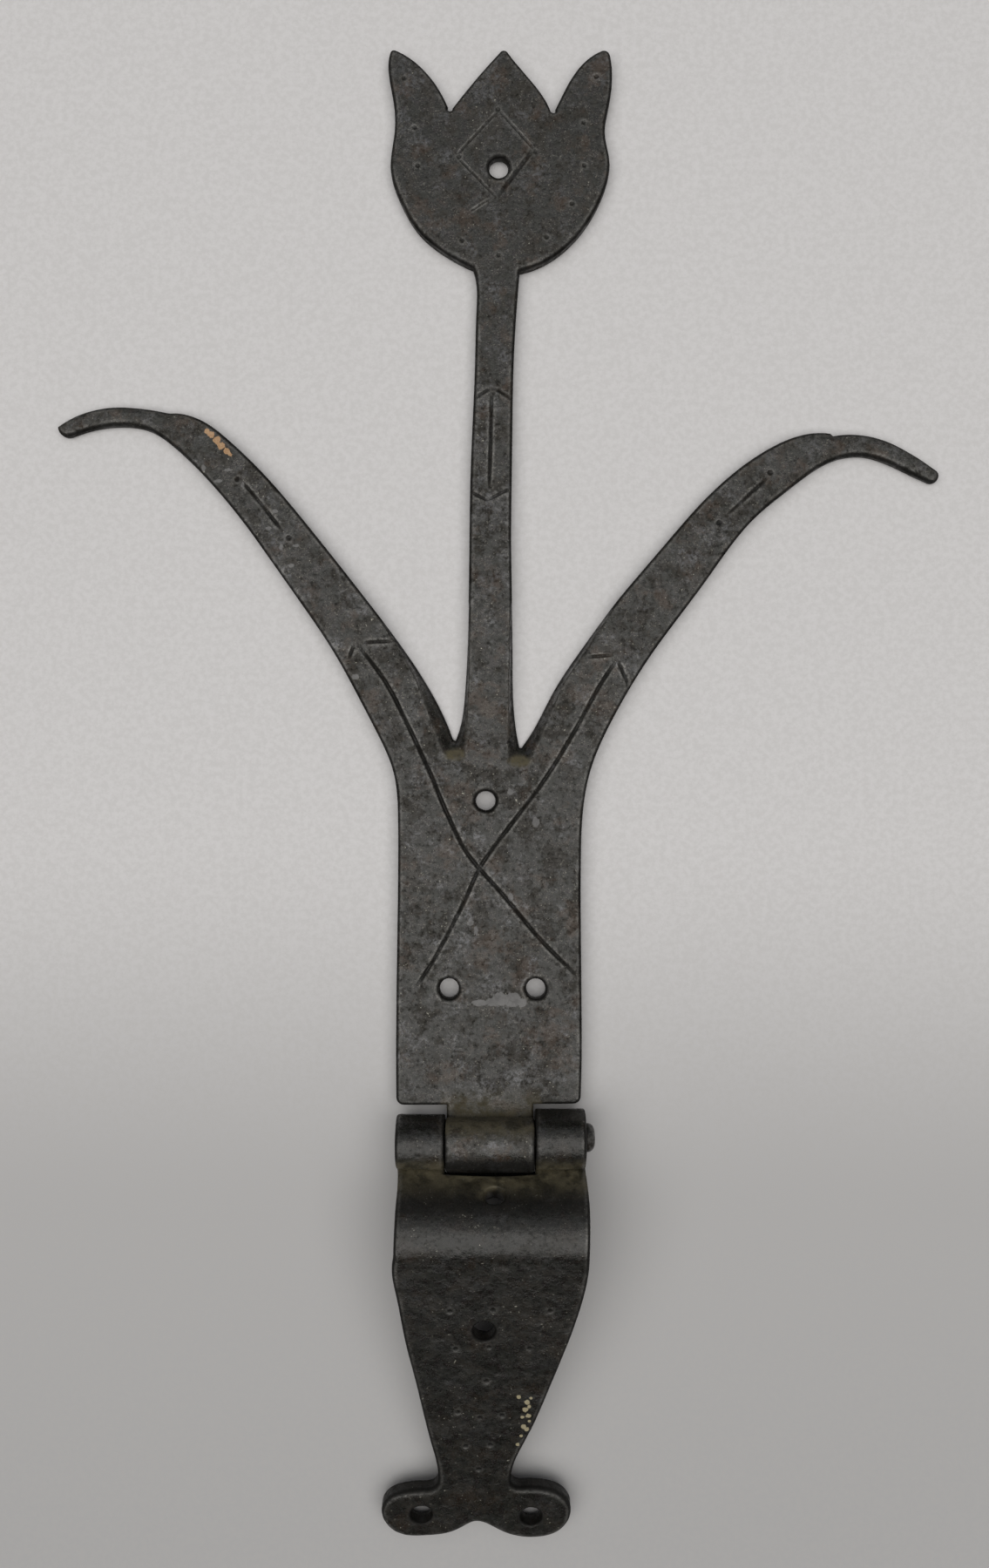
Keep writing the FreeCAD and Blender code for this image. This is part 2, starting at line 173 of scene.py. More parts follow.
def segment_distance(points, a, b):
    """Distance from each point to its own segment, and how far along it that is."""
    along = b - a
    t = ((points - a) * along).sum(-1) / np.maximum((along ** 2).sum(-1), 1e-12)
    t = np.clip(t, 0, 1)
    return np.linalg.norm(points - a - along * t[..., None], axis=-1), t


def line_distance(points, line):
    """Distance to a polyline, and the length along it of the nearest place."""
    a, b = line[:-1], line[1:]
    runs = np.linalg.norm(b - a, axis=1)
    starts = np.concatenate([[0], np.cumsum(runs)[:-1]])
    distance, t = segment_distance(points[:, None], a[None], b[None])
    best = distance.argmin(1)
    rows = np.arange(len(points))
    return distance[rows, best], starts[best] + t[rows, best] * runs[best]


def inside_polygon(points, loops):
    """Even-odd test of points against closed loops."""
    odd = np.zeros(len(points), bool)
    for loop in loops:
        for a, b in zip(loop, np.roll(loop, -1, axis=0)):
            if a[1] == b[1]:
                continue
            spans = (a[1] > points[:, 1]) != (b[1] > points[:, 1])
            odd ^= spans & (points[:, 0] < a[0] + (points[:, 1] - a[1]) * (b[0] - a[0]) / (b[1] - a[1]))
    return odd


def hermite(points, step):
    """Evenly spaced places on a smooth curve through the points; long chords stay straight."""
    points = np.asarray(points, float)
    chords = np.diff(points, axis=0)
    runs = np.linalg.norm(chords, axis=1)
    slopes = chords / runs[:, None]
    weighted = slopes[:-1] * runs[:-1, None] + slopes[1:] * runs[1:, None]
    tangents = np.vstack([slopes[:1], weighted, slopes[-1:]])
    tangents /= np.linalg.norm(tangents, axis=1)[:, None]
    out = []
    for i, run in enumerate(runs):
        t = np.arange(0, 1, 1 / max(1, round(run / step)))[:, None]
        h00, h01 = 1 + t * t * (2 * t - 3), t * t * (3 - 2 * t)
        h10, h11 = t * (1 - t) ** 2, t * t * (t - 1)
        out.append(h00 * points[i] + h01 * points[i + 1] + run * (h10 * tangents[i] + h11 * tangents[i + 1]))
    return np.vstack(out + [points[-1:]])


def even(line, step):
    """The same polyline with even spacing, without its last point."""
    runs = np.linalg.norm(np.diff(line, axis=0), axis=1)
    marks = np.concatenate([[0], np.cumsum(runs)])
    count = max(1, round(marks[-1] / step))
    at = np.arange(count) * marks[-1] / count
    return np.column_stack([np.interp(at, marks, line[:, k]) for k in (0, 1)])


def resampled(loop, step, corner=math.radians(34)):
    """A closed outline with even spacing that keeps its sharp corners."""
    before, after = loop - np.roll(loop, 1, axis=0), np.roll(loop, -1, axis=0) - loop
    cross = before[:, 0] * after[:, 1] - before[:, 1] * after[:, 0]
    turn = np.abs(np.arctan2(cross, (before * after).sum(1)))
    corners = np.flatnonzero(turn > corner)
    if len(corners) == 0:
        corners = np.array([0])
    parts = []
    for i, j in zip(corners, np.append(corners[1:], corners[0] + len(loop))):
        stretch = loop[np.arange(i, j + 1) % len(loop)]
        parts.append(even(hermite(stretch, step / 4), step))
    return np.vstack(parts)


def circle(centre, radius, count, wobble=0.0):
    angles = np.arange(count) * 2 * math.pi / count
    radii = radius - wobble * (0.5 + 0.5 * np.sin(2 * angles + centre[0]))
    return np.column_stack([centre[0] + radii * np.cos(angles), centre[1] + radii * np.sin(angles)])


def hole_loop(centre):
    return circle(centre, HOLE_R, round(2 * math.pi * HOLE_R / 0.55), 0.08)


# ---------------------------------------------------------------- outlines from the CAD nodes

def plane_rim(node, origin, along, normal):
    """A node's flat face: its corners as (x, distance along), and the directed edges round it."""
    mesh = frame["nodes"][node].data
    mesh.calc_loop_triangles()
    places = np.array([v.co for v in mesh.vertices]) / MM
    places, same = np.unique(places.round(4), axis=0, return_inverse=True)
    triangles = same.ravel()[np.array([t.vertices for t in mesh.loop_triangles])]
    level = (places - origin) @ normal
    flat = triangles[(np.abs(level[triangles]) < 0.003).all(1)]
    edges = {(int(t[i]), int(t[(i + 1) % 3])) for t in flat for i in range(3)}
    rim = {a: b for a, b in edges if (b, a) not in edges}
    return np.column_stack([places[:, 0], (places - origin) @ along]), rim


def longest_loop(corners, rim):
    """The corners round the outer edge of a flat face, in order."""
    loops, left = [], dict(rim)
    while left:
        loop, here = [], next(iter(left))
        while here in left:
            loop.append(here)
            here = left.pop(here)
        loops.append(corners[loop])
    return max(loops, key=lambda loop: np.abs(np.diff(loop, axis=0)).sum())


def strap_outline():
    """The strap's back face, with its tongue unrolled below s = 0."""
    up_the_strap, out_of_face = np.array([0, 1, 0]), np.array([0, 0, 1])
    loop = longest_loop(*plane_rim("tulip_strap", np.zeros(3), up_the_strap, out_of_face))
    loop[np.abs(loop[:, 1]) < 0.01, 1] = -ROLL_END * BARREL_R
    return resampled(loop, RIM_STEP)


# ---------------------------------------------------------------- flat meshing

def thinned(points, others, gap):
    """The points that keep clear of all the others."""
    if len(others) == 0 or len(points) == 0:
        return points
    return points[nearest(tree_of(others), points)[1] > gap]


def scattered(points, gap):
    """The points in order, without those that crowd an earlier one."""
    cells, kept = {}, []
    for p in points:
        key = (math.floor(p[0] / gap), math.floor(p[1] / gap))
        beside_it = [(key[0] + i, key[1] + j) for i in (-1, 0, 1) for j in (-1, 0, 1)]
        around = [q for cell in beside_it for q in cells.get(cell, [])]
        if all((p[0] - q[0]) ** 2 + (p[1] - q[1]) ** 2 > gap * gap for q in around):
            cells.setdefault(key, []).append(p)
            kept.append(p)
    return np.array(kept).reshape(-1, 2)


def hex_grid(loops, step):
    """Hexagonally packed points inside the loops."""
    rim = np.vstack(loops)
    ends = np.vstack([np.roll(loop, -1, axis=0) for loop in loops])
    rows = []
    for number, s in enumerate(np.arange(rim[:, 1].min(), rim[:, 1].max(), step * 0.866)):
        cut = (rim[:, 1] > s) != (ends[:, 1] > s)
        a, b = rim[cut], ends[cut]
        crossings = np.sort(a[:, 0] + (s - a[:, 1]) * (b[:, 0] - a[:, 0]) / (b[:, 1] - a[:, 1]))
        x = np.arange(rim[:, 0].min() + step * 0.5 * (number % 2), rim[:, 0].max(), step)
        x = x[np.searchsorted(crossings, x) % 2 == 1]
        rows.append(np.column_stack([x, np.full(len(x), s)]))
    return np.vstack(rows)


def inward_normals(loop):
    along = np.roll(loop, -1, axis=0) - np.roll(loop, 1, axis=0)
    along /= np.linalg.norm(along, axis=1)[:, None]
    return np.column_stack([-along[:, 1], along[:, 0]]) * turning(loop)


def turning(loop):
    """1 for a loop that runs anticlockwise, -1 for one that runs clockwise."""
    x, s = loop[:, 0], loop[:, 1]
    return np.sign((x * np.roll(s, -1) - s * np.roll(x, -1)).sum())


def walked_rim(loops):
    """For each rim point, the next one on a walk that keeps the metal on the left."""
    following, first = [], 0
    for loop in loops:
        step = int(turning(loop)) * (1 if first == 0 else -1)
        following.append(first + (np.arange(len(loop)) + step) % len(loop))
        first += len(loop)
    return np.concatenate(following)


def material_normals(loops):
    """Normals that point into the metal: inward on the outline, outward from the holes."""
    return np.vstack([inward_normals(loops[0])] + [-inward_normals(loop) for loop in loops[1:]])


def rings(loops, offsets):
    """Rows of points just inside the rim, to carry the rounded arris."""
    rim, normals = np.vstack(loops), material_normals(loops)
    tree = tree_of(rim)
    rows = []
    for offset in offsets:
        row = rim + normals * offset
        rows.append(row[nearest(tree, row)[1] > 0.93 * offset])
    return rows


def beside(line, offsets):
    """Rows of points on each side of a line."""
    along = np.gradient(line, axis=0)
    along /= np.linalg.norm(along, axis=1)[:, None]
    side = np.column_stack([-along[:, 1], along[:, 0]])
    return np.vstack([line + side * offset for offset in offsets])


def fine_patch(centre, radius, step):
    span = np.arange(-radius, radius, step)
    x, s = np.meshgrid(span, span * 0.94)
    points = np.column_stack([x.ravel(), s.ravel()]) + centre
    return points[np.linalg.norm(points - centre, axis=1) < radius]


def face_points(loops, details, step):
    """Interior points of one face: rim rings, then details, then an even fill."""
    rim = np.vstack(loops)
    kept = scattered(np.vstack(rings(loops, RING_OFFSETS)), 0.09)
    if details:
        extra = thinned(np.vstack(details), np.vstack([rim, kept]), 0.16)
        extra = extra[inside_polygon(extra, loops)]
        kept = np.vstack([kept, scattered(extra, 0.11)])
    fill = thinned(hex_grid(loops, step), np.vstack([rim, kept]), 0.62 * step)
    return np.vstack([kept, fill])


def triangles_of(loops, inner):
    """Triangles over the rim and inner points, in that order, and none outside the rim."""
    points = np.vstack(loops + [inner])
    edges, first = [], 0
    for loop in loops:
        edges += [(first + i, first + (i + 1) % len(loop)) for i in range(len(loop))]
        first += len(loop)
    found = geometry.delaunay_2d_cdt([Vector(p) for p in points], edges, [], 0, 1e-6)
    source = np.array([ids[0] for ids in found[3]])
    triangles = source[np.array(found[2])]
    on_rim = (triangles < first).all(1)
    middles = points[triangles[on_rim]].mean(1)
    keep = np.ones(len(triangles), bool)
    keep[on_rim] = inside_polygon(middles, loops)
    return triangles[keep]


def rim_distance(points, loops):
    """Exact distance to the rim, and the loop that each point is nearest to."""
    rim = np.vstack(loops)
    before = np.vstack([np.roll(loop, 1, axis=0) for loop in loops])
    after = np.vstack([np.roll(loop, -1, axis=0) for loop in loops])
    owner = np.repeat(np.arange(len(loops)), [len(loop) for loop in loops])
    index, _ = nearest(tree_of(rim), points)
    left, _ = segment_distance(points, before[index], rim[index])
    right, _ = segment_distance(points, rim[index], after[index])
    return np.minimum(left, right), owner[index]


def arris_drop(distance, radius):
    """How far a rounded edge falls away at a distance from the rim."""
    reach = np.clip(radius - distance, 0, radius)
    return radius - np.sqrt(radius ** 2 - reach ** 2)


# ---------------------------------------------------------------- closed skins

def build_skin(name, loops, front, back, place, wall_dents):
    """A closed forging: front and back faces joined by walls round every loop.

    front and back are (inner points, height function). A height function returns heights
    and a dictionary of per-point paint values.
    """
    rim, normals = np.vstack(loops), material_normals(loops)
    count = len(rim)
    faces = []
    for inner, height in (front, back):
        points = np.vstack([rim, inner])
        faces.append((points, *height(points)))
    top, bottom = faces
    in_hole = np.arange(count) >= len(loops[0])
    layers = [top]
    for row in range(1, WALL_ROWS):
        share = row / WALL_ROWS
        h = top[1][:count] * (1 - share) + bottom[1][:count] * share
        dent = np.where(in_hole, -HOLE_WAIST, wall_dents(rim, h)) * math.sin(math.pi * share)
        paint = {key: values[:count] * (1 - share) ** 2 for key, values in top[2].items()}
        # the walls are painted dark: painted shade on the forging's sides and down its nail holes
        paint["cut"] = np.full(count, WALL_SHADE)
        layers.append((rim + normals * dent[:, None], h, paint))
    layers.append(bottom)
    starts = np.cumsum([0] + [len(layer[0]) for layer in layers[:-1]])
    here, there = np.arange(count), walked_rim(loops)
    quads = [np.column_stack([there + upper, here + upper, here + lower, there + lower])
             for upper, lower in zip(starts, starts[1:])]
    triangles = [triangles_of(loops, front[0]), triangles_of(loops, back[0])[:, ::-1] + starts[-1]]
    x, s = np.vstack([layer[0] for layer in layers]).T
    places = place(x, s, np.concatenate([layer[1] for layer in layers]))
    paint = {key: np.concatenate([layer[2][key] for layer in layers]) for key in PAINT_NAMES}
    return make_mesh(name, places, np.vstack(triangles), np.vstack(quads), paint)


def in_scene(name, data):
    """A new object of that data, linked into the scene."""
    obj = bpy.data.objects.new(name, data)
    bpy.context.scene.collection.objects.link(obj)
    return obj


def make_mesh(name, places, triangles, quads, paint):
    """A smooth-shaded object with its normals outward and its paint as point attributes."""
    counts = np.concatenate([np.full(len(triangles), 3), np.full(len(quads), 4)])
    corners = np.concatenate([triangles.ravel(), quads.ravel()])
    a, b, c = places[np.vstack([triangles, quads[:, [0, 1, 2]], quads[:, [0, 2, 3]]])].transpose(1, 0, 2)
    mesh = bpy.data.meshes.new(name)
    mesh.vertices.add(len(places))
    mesh.vertices.foreach_set("co", (places * MM).astype(np.float32).ravel())
    mesh.loops.add(len(corners))
    mesh.polygons.add(len(counts))
    mesh.loops.foreach_set("vertex_index", corners.astype(np.int32))
    first_corners = np.concatenate([[0], np.cumsum(counts)[:-1]])
    mesh.polygons.foreach_set("loop_start", first_corners.astype(np.int32))
    mesh.update(calc_edges=True)
    if (a * np.cross(b, c)).sum() < 0:
        mesh.flip_normals()
    for key, values in paint.items():
        layer = mesh.attributes.new(key, "FLOAT", "POINT")
        layer.data.foreach_set("value", np.clip(values, 0, 1).astype(np.float32))
    mesh.shade_smooth()
    return in_scene(name, mesh)


# ---------------------------------------------------------------- hammer and chisel

def hammer_marks(points, seed, count, sizes, depths):
    """Shallow round dents scattered over the sheet, as depths below its face."""
    rng = np.random.default_rng(seed)
    low, high = points.min(0), points.max(0)
    depth = np.zeros(len(points))
    centres = rng.uniform(low, high, (count, 2))
    for centre, radius, deep in zip(centres, rng.uniform(*sizes, count), rng.uniform(*depths, count)):
        near = np.abs(points - centre).max(1) < radius
        share = 1 - ((points[near] - centre) ** 2).sum(1) / radius ** 2
        depth[near] = np.maximum(depth[near], deep * np.clip(share, 0, 1) ** 1.5)
    return depth


def forged_skin(points, seed):
    """How deep the worked surface lies below the drawn one: ripples, hammer marks and pits."""
    ripple = 0.045 * noise(points, 21, seed) + 0.03 * noise(points, 7.5, seed + 1)
    ripple += 0.016 * noise(points, 2.6, seed + 2)
    dents = hammer_marks(points, seed, 260, (3.2, 6.5), (0.03, 0.11))
    pits = hammer_marks(points, seed + 50, 500, (0.7, 1.6), (0.02, 0.09))
    return np.clip(SKIN + ripple, 0.0, None) + dents + pits


class Chisel:
    """A line cut with a narrow chisel, deep in the middle of its run and fading at its ends."""

    def __init__(self, points, width=0.95, depth=0.42, fade=2.5):
        self.line = hermite(points, 0.45)
        self.width, self.depth = 1.3 * width, 1.2 * depth
        self.length = np.linalg.norm(np.diff(self.line, axis=0), axis=1).sum()
        self.fade = min(fade, 0.3 * self.length)

    def rows(self):
        return beside(self.line, GROOVE_ROWS)

    def cut(self, points):
        """Depth of the groove and closeness to its lips, at each point."""
        depth, lip = np.zeros(len(points)), np.zeros(len(points))
        low, high = self.line.min(0) - 2, self.line.max(0) + 2
        near = np.flatnonzero(((points > low) & (points < high)).all(1))
        if len(near) == 0:
            return depth, lip
        distance, along = line_distance(points[near], self.line)
        run = np.minimum(along, self.length - along)
        strength = 0.25 + 0.75 * smooth(run, 0, self.fade)
        strength *= 1 + 0.3 * noise(points[near], 5.0, 3.0)
        half = 0.5 * self.width * (0.75 + 0.25 * strength)
        depth[near] = self.depth * strength * np.clip(1 - distance / half, 0, 1) ** 0.8
        lip[near] = strength * np.exp(-((distance - half - 0.15) / 0.22) ** 2)
        return depth, lip


class Punch:
    """A round punch mark."""

    def __init__(self, centre, radius=0.85, depth=0.42):
        self.centre, self.radius, self.depth = np.array(centre, float), radius, depth

    def rows(self):
        rounds = [circle(self.centre, self.radius * k, round(5 + 12 * k)) for k in (0.35, 0.7, 1.0, 1.3)]
        return np.vstack([self.centre[None]] + rounds)

    def cut(self, points):
        distance = np.linalg.norm(points - self.centre, axis=1)
        depth = self.depth * np.clip(1 - (distance / self.radius) ** 2, 0, 1)
        lip = 0.7 * np.exp(-((distance - self.radius - 0.12) / 0.2) ** 2)
        return depth, lip


def rim_grime_and_shade(distance, points):
    """Dirt and painted shade along the foot of a rounded arris, a dark band that stands in for the dark edge and
    its contact shadow.
    """
    return np.exp(-(distance / 0.68) ** 4) * (0.9 + 0.2 * noise(points, 6, 12.0))


def worn_arris(distance, points, size):
    """Bright rubbed metal on the shoulder of an arris."""
    return np.exp(-((distance - 1.05) / 0.28) ** 2) * (0.5 + 0.5 * noise(points, size, 8.0))


# the cut channel carries dark paint in chisel cuts and punch marks, and painted shade along arrises, on the walls,
# on the flange below the crest and on the strap barrel's lower side
PAINT_NAMES = ("worn", "cut", "orange", "pale", "dust", "polish")


def painted(count, **values):
    """Every paint channel for that many points; channels not named are empty."""
    return {name: np.broadcast_to(values.get(name, 0.0), count).copy() for name in PAINT_NAMES}


def cut_depth(points, tools):
    depth, lip = np.zeros(len(points)), np.zeros(len(points))
    for tool in tools:
        d, l = tool.cut(points)
        depth, lip = np.maximum(depth, d), np.maximum(lip, l)
    return depth, lip


# ---------------------------------------------------------------- the tulip strap

def strap_chisel_work():
    cross_left = [(-37.5, 138.3), (-29.8, 128.0), (-24.4, 117.8), (-17.0, 102.0), (-12.2, 90.5),
                  (-6.5, 79.4), (3.6, 67.7), (14.0, 55.3), (24.4, 45.0)]
    cross_right = [(35.2, 133.8), (30.4, 126.4), (23.3, 113.6), (14.7, 99.7), (5.3, 87.2),
                   (-2.8, 76.1), (-7.5, 66.0), (-15.6, 50.5), (-21.3, 41.6)]
    fine = [
        [(0.2, 208.9), (-0.1, 195.0), (-0.5, 182.1)],
        [(-4.9, 207.2), (0.2, 210.3)], [(0.2, 210.3), (6.2, 207.0)],
        [(-5.7, 181.0), (-1.0, 178.6)], [(-1.0, 178.6), (5.7, 182.2)],
        [(-27.4, 139.1), (-36.3, 138.6)], [(-38.4, 138.0), (-39.8, 134.1)],
        [(27.2, 134.6), (34.2, 135.1)], [(35.5, 133.8), (38.8, 126.0)],
        [(-70.0, 184.0), (-64.5, 177.6), (-58.7, 170.2)], [(77.8, 185.1), (66.2, 174.4)],
    ]
    diamond = [[(2.2, 288.4), (-9.8, 275.5)], [(-9.8, 275.5), (1.3, 264.0)],
               [(2.2, 288.4), (13.0, 276.3)]]
    tools = [Chisel(cross_left, 1.0, 0.5, 6), Chisel(cross_right, 0.95, 0.46, 6)]
    tools += [Chisel(points, 0.85, 0.34) for points in fine]
    tools += [Chisel(points, 0.6, 0.22) for points in diamond]
    tools.append(Chisel([(0.4, 263.9), (-6.5, 259.5)], 0.45, 0.12))
    tools.append(Chisel([(11.8, 277.2), (2.2, 264.6)], 1.3, 0.4))
    return tools


def strap_punch_marks():
    tulip = [(-21.5, 283.5), (2.0, 288.6), (-9.0, 275.3), (12.4, 276.8), (-8.2, 251.7), (2.1, 247.6),
             (15.6, 252.7), (22.7, 262.1), (26.2, 272.8), (26.1, 284.9), (29.6, 297.8), (-20.6, 272.8),
             (-24.5, 297.4)]
    leaves = [(-71.2, 184.5), (-56.7, 168.0), (78.4, 186.4), (64.0, 172.3)]
    return [Punch(p, 0.75, 0.3) for p in tulip] + [Punch(p, 0.95, 0.45) for p in leaves]


def fork_bevels():
    """Upper edges of the two hot-cut gaps; the metal slopes from them down to the outline."""
    left = [(-6.0, 150.0), (-6.3, 127.0), (-7.2, 106.3), (-12.9, 106.1), (-21.4, 129.2), (-30.3, 144.3)]
    right = [(5.5, 150.0), (5.0, 124.0), (4.8, 104.7), (10.6, 104.4), (20.3, 127.0), (34.2, 148.0)]
    return [np.array(left), np.array(right)]


FORK_LIP = 0.8
FORK_TOP = 148
TAPER = (110.0, 243.0)
LEAF_THIN = (88.0, 126.0)
LEAF_TIP_T = 2.7


def strap_thickness(points):
    """The strap tapers towards the tulip, and each leaf towards its tip."""
    share = (points[:, 1] - TAPER[0]) / (TAPER[1] - TAPER[0])
    thick = PLATE_T - (PLATE_T - TULIP_T) * np.clip(share, 0, 1)
    leaf = (points[:, 1] < 215) & (np.abs(points[:, 0]) > LEAF_THIN[0])
    share = (np.abs(points[:, 0]) - LEAF_THIN[0]) / (LEAF_THIN[1] - LEAF_THIN[0])
    return np.where(leaf, thick - (thick - LEAF_TIP_T) * np.clip(share, 0, 1), thick)


def strap_arris(points):
    """Arris radius: crisp on the plate, soft on the petals and softest on the curled tips."""
    radius = ARRIS_R * (1 + 0.35 * noise(points, 9, 5.0))
    radius += 0.2 * smooth(points[:, 1], 245, 260)
    curl = smooth(np.abs(points[:, 0]), 72, 90) * (points[:, 1] < 215)
    return radius + 0.75 * curl


def cut_fork(points, bevel, thick, distance, h, radius, worn):
    """Heights, arris radii and wear with one of the fork's gaps cut down from its upper edge."""
    inside = inside_polygon(points, [bevel])
    edge, _ = line_distance(points, np.vstack([bevel, bevel[:1]]))
    slope = FORK_LIP + (thick - FORK_LIP) * distance / (distance + edge + 1e-6)
    chip = 0.12 * noise(points, 1.8, 9.0) + 0.1
    h = np.where(inside, np.minimum(h, slope - chip), h)
    h -= 0.1 * np.exp(-(edge / 0.25) ** 2) * (points[:, 1] < FORK_TOP)
    radius = np.where(inside, 0.2, radius)
    rubbed = np.exp(-((edge - 0.1) / 0.3) ** 2) * (0.6 + 0.4 * noise(points, 3, 4.0))
    return h, radius, np.maximum(np.where(inside, 0.0, worn), rubbed)


def strap_front(loops, tools):
    def height(points):
        thick = strap_thickness(points)
        distance, owner = rim_distance(points, loops)
        hole_radius = np.where(owner == 1, 0.5, 1.0) * HOLE_ARRIS_R
        radius = np.where(owner == 0, strap_arris(points), hole_radius)
        rolled = points[:, 1] < 0
        radius = np.where(rolled, HIDDEN_ARRIS_R, radius)
        worn = worn_arris(distance, points, 4)
        groove, lip = cut_depth(points, tools)
        wear = np.where(rolled, HIDDEN_SKIN, forged_skin(points, 2))
        h = thick - wear - groove + LIP_HEIGHT * lip
        for bevel in fork_bevels():
            h, radius, worn = cut_fork(points, bevel, thick, distance, h, radius, worn)
        h -= arris_drop(distance, radius)
        orange, pale, dust = strap_marks(points)
        worn = np.where(rolled, 0, np.maximum(worn, lip))
        # dark paint in the grooves, with dirt and painted shade along the arris
        cut = np.maximum(0.8 * np.clip(groove / 0.4, 0, 1) ** 1.2, rim_grime_and_shade(distance, points))
        cut = cut * (1 - 0.8 * np.clip(2 * dust, 0, 1) * (points[:, 1] > 50))
        return h, painted(len(points), worn=worn, cut=cut, orange=orange, pale=pale, dust=dust)

    return height


def blob(points, centre, size):
    """A soft round mark, 1 at its centre and 0 beyond its size."""
    return np.clip(1 - np.linalg.norm((points - centre) / size, axis=1), 0, 1)


def strap_marks(points):
    """Orange scrape on the left leaf, pale scuffs, and dust in the fork and under the roll."""
    orange = np.zeros(len(points))
    for x, s, size in [(-79.7, 198.0, 1.1), (-78.4, 197.0, 1.4), (-77.0, 195.6, 1.6),
                       (-75.6, 193.9, 1.6), (-74.2, 192.4, 1.3), (-73.3, 191.6, 0.9)]:
        orange = np.maximum(orange, blob(points, (x, s), size))
    scuff = np.zeros(len(points))
    for x, s, wide, tall in [(-3.2, 37.7, 3.2, 1.2), (0.5, 37.9, 2.6, 1.6), (2.6, 38.8, 2.6, 2.6),
                             (6.0, 38.6, 3.4, 2.6), (8.6, 37.7, 1.8, 1.6), (5.5, 96.8, 1.3, 1.0),
                             (12.6, 88.3, 1.3, 1.9), (5.5, 67.3, 0.9, 1.7), (-5.8, 60.0, 1.6, 0.8),
                             (-4.2, 57.8, 0.7, 1.7), (-38.0, 129.0, 1.4, 0.9), (21.5, 160.5, 1.1, 1.5),
                             (-73.6, 187.2, 1.5, 0.6), (-69.6, 182.8, 0.6, 1.2), (-76.5, 184.0, 1.6, 0.6),
                             (-60.6, 175.6, 0.9, 0.7), (-58.9, 165.5, 0.7, 1.2), (-54.6, 165.8, 1.1, 0.6),
                             (-62.3, 170.8, 1.1, 0.7), (-80.6, 187.6, 0.7, 1.3), (-56.0, 160.2, 1.3, 0.6)]:
        scuff = np.maximum(scuff, blob(points, (x, s), (wide, tall)))
    ledge = np.maximum(blob(points, (-10.2, 107.2), (3.8, 2.0)), blob(points, (8.0, 105.4), (3.8, 2.0)))
    ledge = np.clip(2.5 * ledge, 0, 1)
    tongue = 0.7 * fall(points[:, 1], 7, 15) * (np.abs(points[:, 0]) < 14)
    return orange, np.clip(1.3 * scuff, 0, 1), np.maximum(ledge, tongue)


def strap_back(loops):
    def height(points):
        distance, owner = rim_distance(points, loops)
        rolled = points[:, 1] < 0
        radius = np.where(owner == 0, BACK_ARRIS_R, HOLE_ARRIS_R)
        angle = -points[:, 1] / BARREL_R
        low_corner = 1.7 * smooth(angle, 0.75, 1.35) * fall(angle, 1.75, 2.3)
        radius = np.where(rolled, 0.35 + low_corner + 0.5 * smooth(angle, 4.4, 4.9), radius)
        wear = np.where(rolled, 0.8 * forged_skin(points, 4), 0.35 * forged_skin(points, 6))
        h = wear + arris_drop(distance, radius)
        worn = 0.6 * worn_arris(distance, points, 5)
        polish = smooth(angle, 2.6, 2.9) * fall(angle, 3.2, 3.7)
        dust = 0.7 * smooth(angle, 3.3, 3.9) * rolled
        # painted shade on the barrel's lower side, which faces away from the light, with dirt and painted shade
        # along the arris
        grime_and_shade = np.maximum(rim_grime_and_shade(distance, points), 0.85 * fall(angle, 2.6, 2.95) * rolled)
        return h, painted(len(points), worn=worn, cut=grime_and_shade, polish=polish, dust=dust)

    return height


def roll_angle(s, radius):
    """Angle round the pin of a place below s = 0; the roll's end comes down flat on the sheet."""
    nominal = -s / BARREL_R
    last = 2 * math.pi - np.arccos(np.clip(SEAM_LEVEL / np.maximum(radius, SEAM_LEVEL), -1, 1))
    share = (nominal - ROLL_START) / (ROLL_END - ROLL_START)
    return np.where(nominal < ROLL_START, nominal, ROLL_START + (last - ROLL_START) * share)


def place_strap(x, s, h):
    scarf = SCARF * smooth(-s / BARREL_R, ROLL_START, math.radians(262))
    radius = BORE_R + (PLATE_T - h) * (BARREL_R - scarf - BORE_R) / PLATE_T
    angle = roll_angle(s, radius)
    rolled = s < 0
    y = np.where(rolled, AXIS[1] - np.sin(angle) * radius, s)
    z = np.where(rolled, AXIS[2] - np.cos(angle) * radius, h)
    return np.column_stack([x, y, z])


def wall_wear(depth, size):
    """A function that gives how far the walls are dented in at a rim point and height."""
    def dents(rim, h):
        lumps = noise(rim + h[:, None] * 0.7, size, 1.0) + 0.6 * noise(rim + h[:, None] * 2, size / 3, 2.0)
        return np.clip(depth * (0.9 + lumps), 0, 2.4 * depth)

    return dents


def make_strap():
    holes = [mount_at("tulip_nail_hole")[:2], mount_at("fork_nail_hole")[:2]] + plate_holes()
    loops = [strap_outline()] + [hole_loop(c) for c in holes]
    tools = strap_chisel_work() + strap_punch_marks()
    details = [tool.rows() for tool in tools]
    for bevel in fork_bevels():
        edge = hermite(np.vstack([bevel, bevel[:1]]), 0.5)
        details.append(beside(edge, (-0.35, -0.12, 0.12, 0.35)))
    details += [fine_patch((-77, 195), 5.5, FINE_STEP), fine_patch((3, 38.5), 7.5, FINE_STEP)]
    front = (face_points(loops, details, STRAP_STEP), strap_front(loops, tools))
    roll_detail = hex_grid(loops[:1], STRAP_STEP)
    roll_detail = roll_detail[roll_detail[:, 1] < 2]
    back = (face_points(loops, [roll_detail], BACK_STEP), strap_back(loops))
    strap = build_skin("strap_forging", loops, front, back, place_strap, wall_wear(0.05, 4.0))
    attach(strap, "strap")
    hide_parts("tulip_strap")
    return strap


# ---------------------------------------------------------------- the cranked leaf

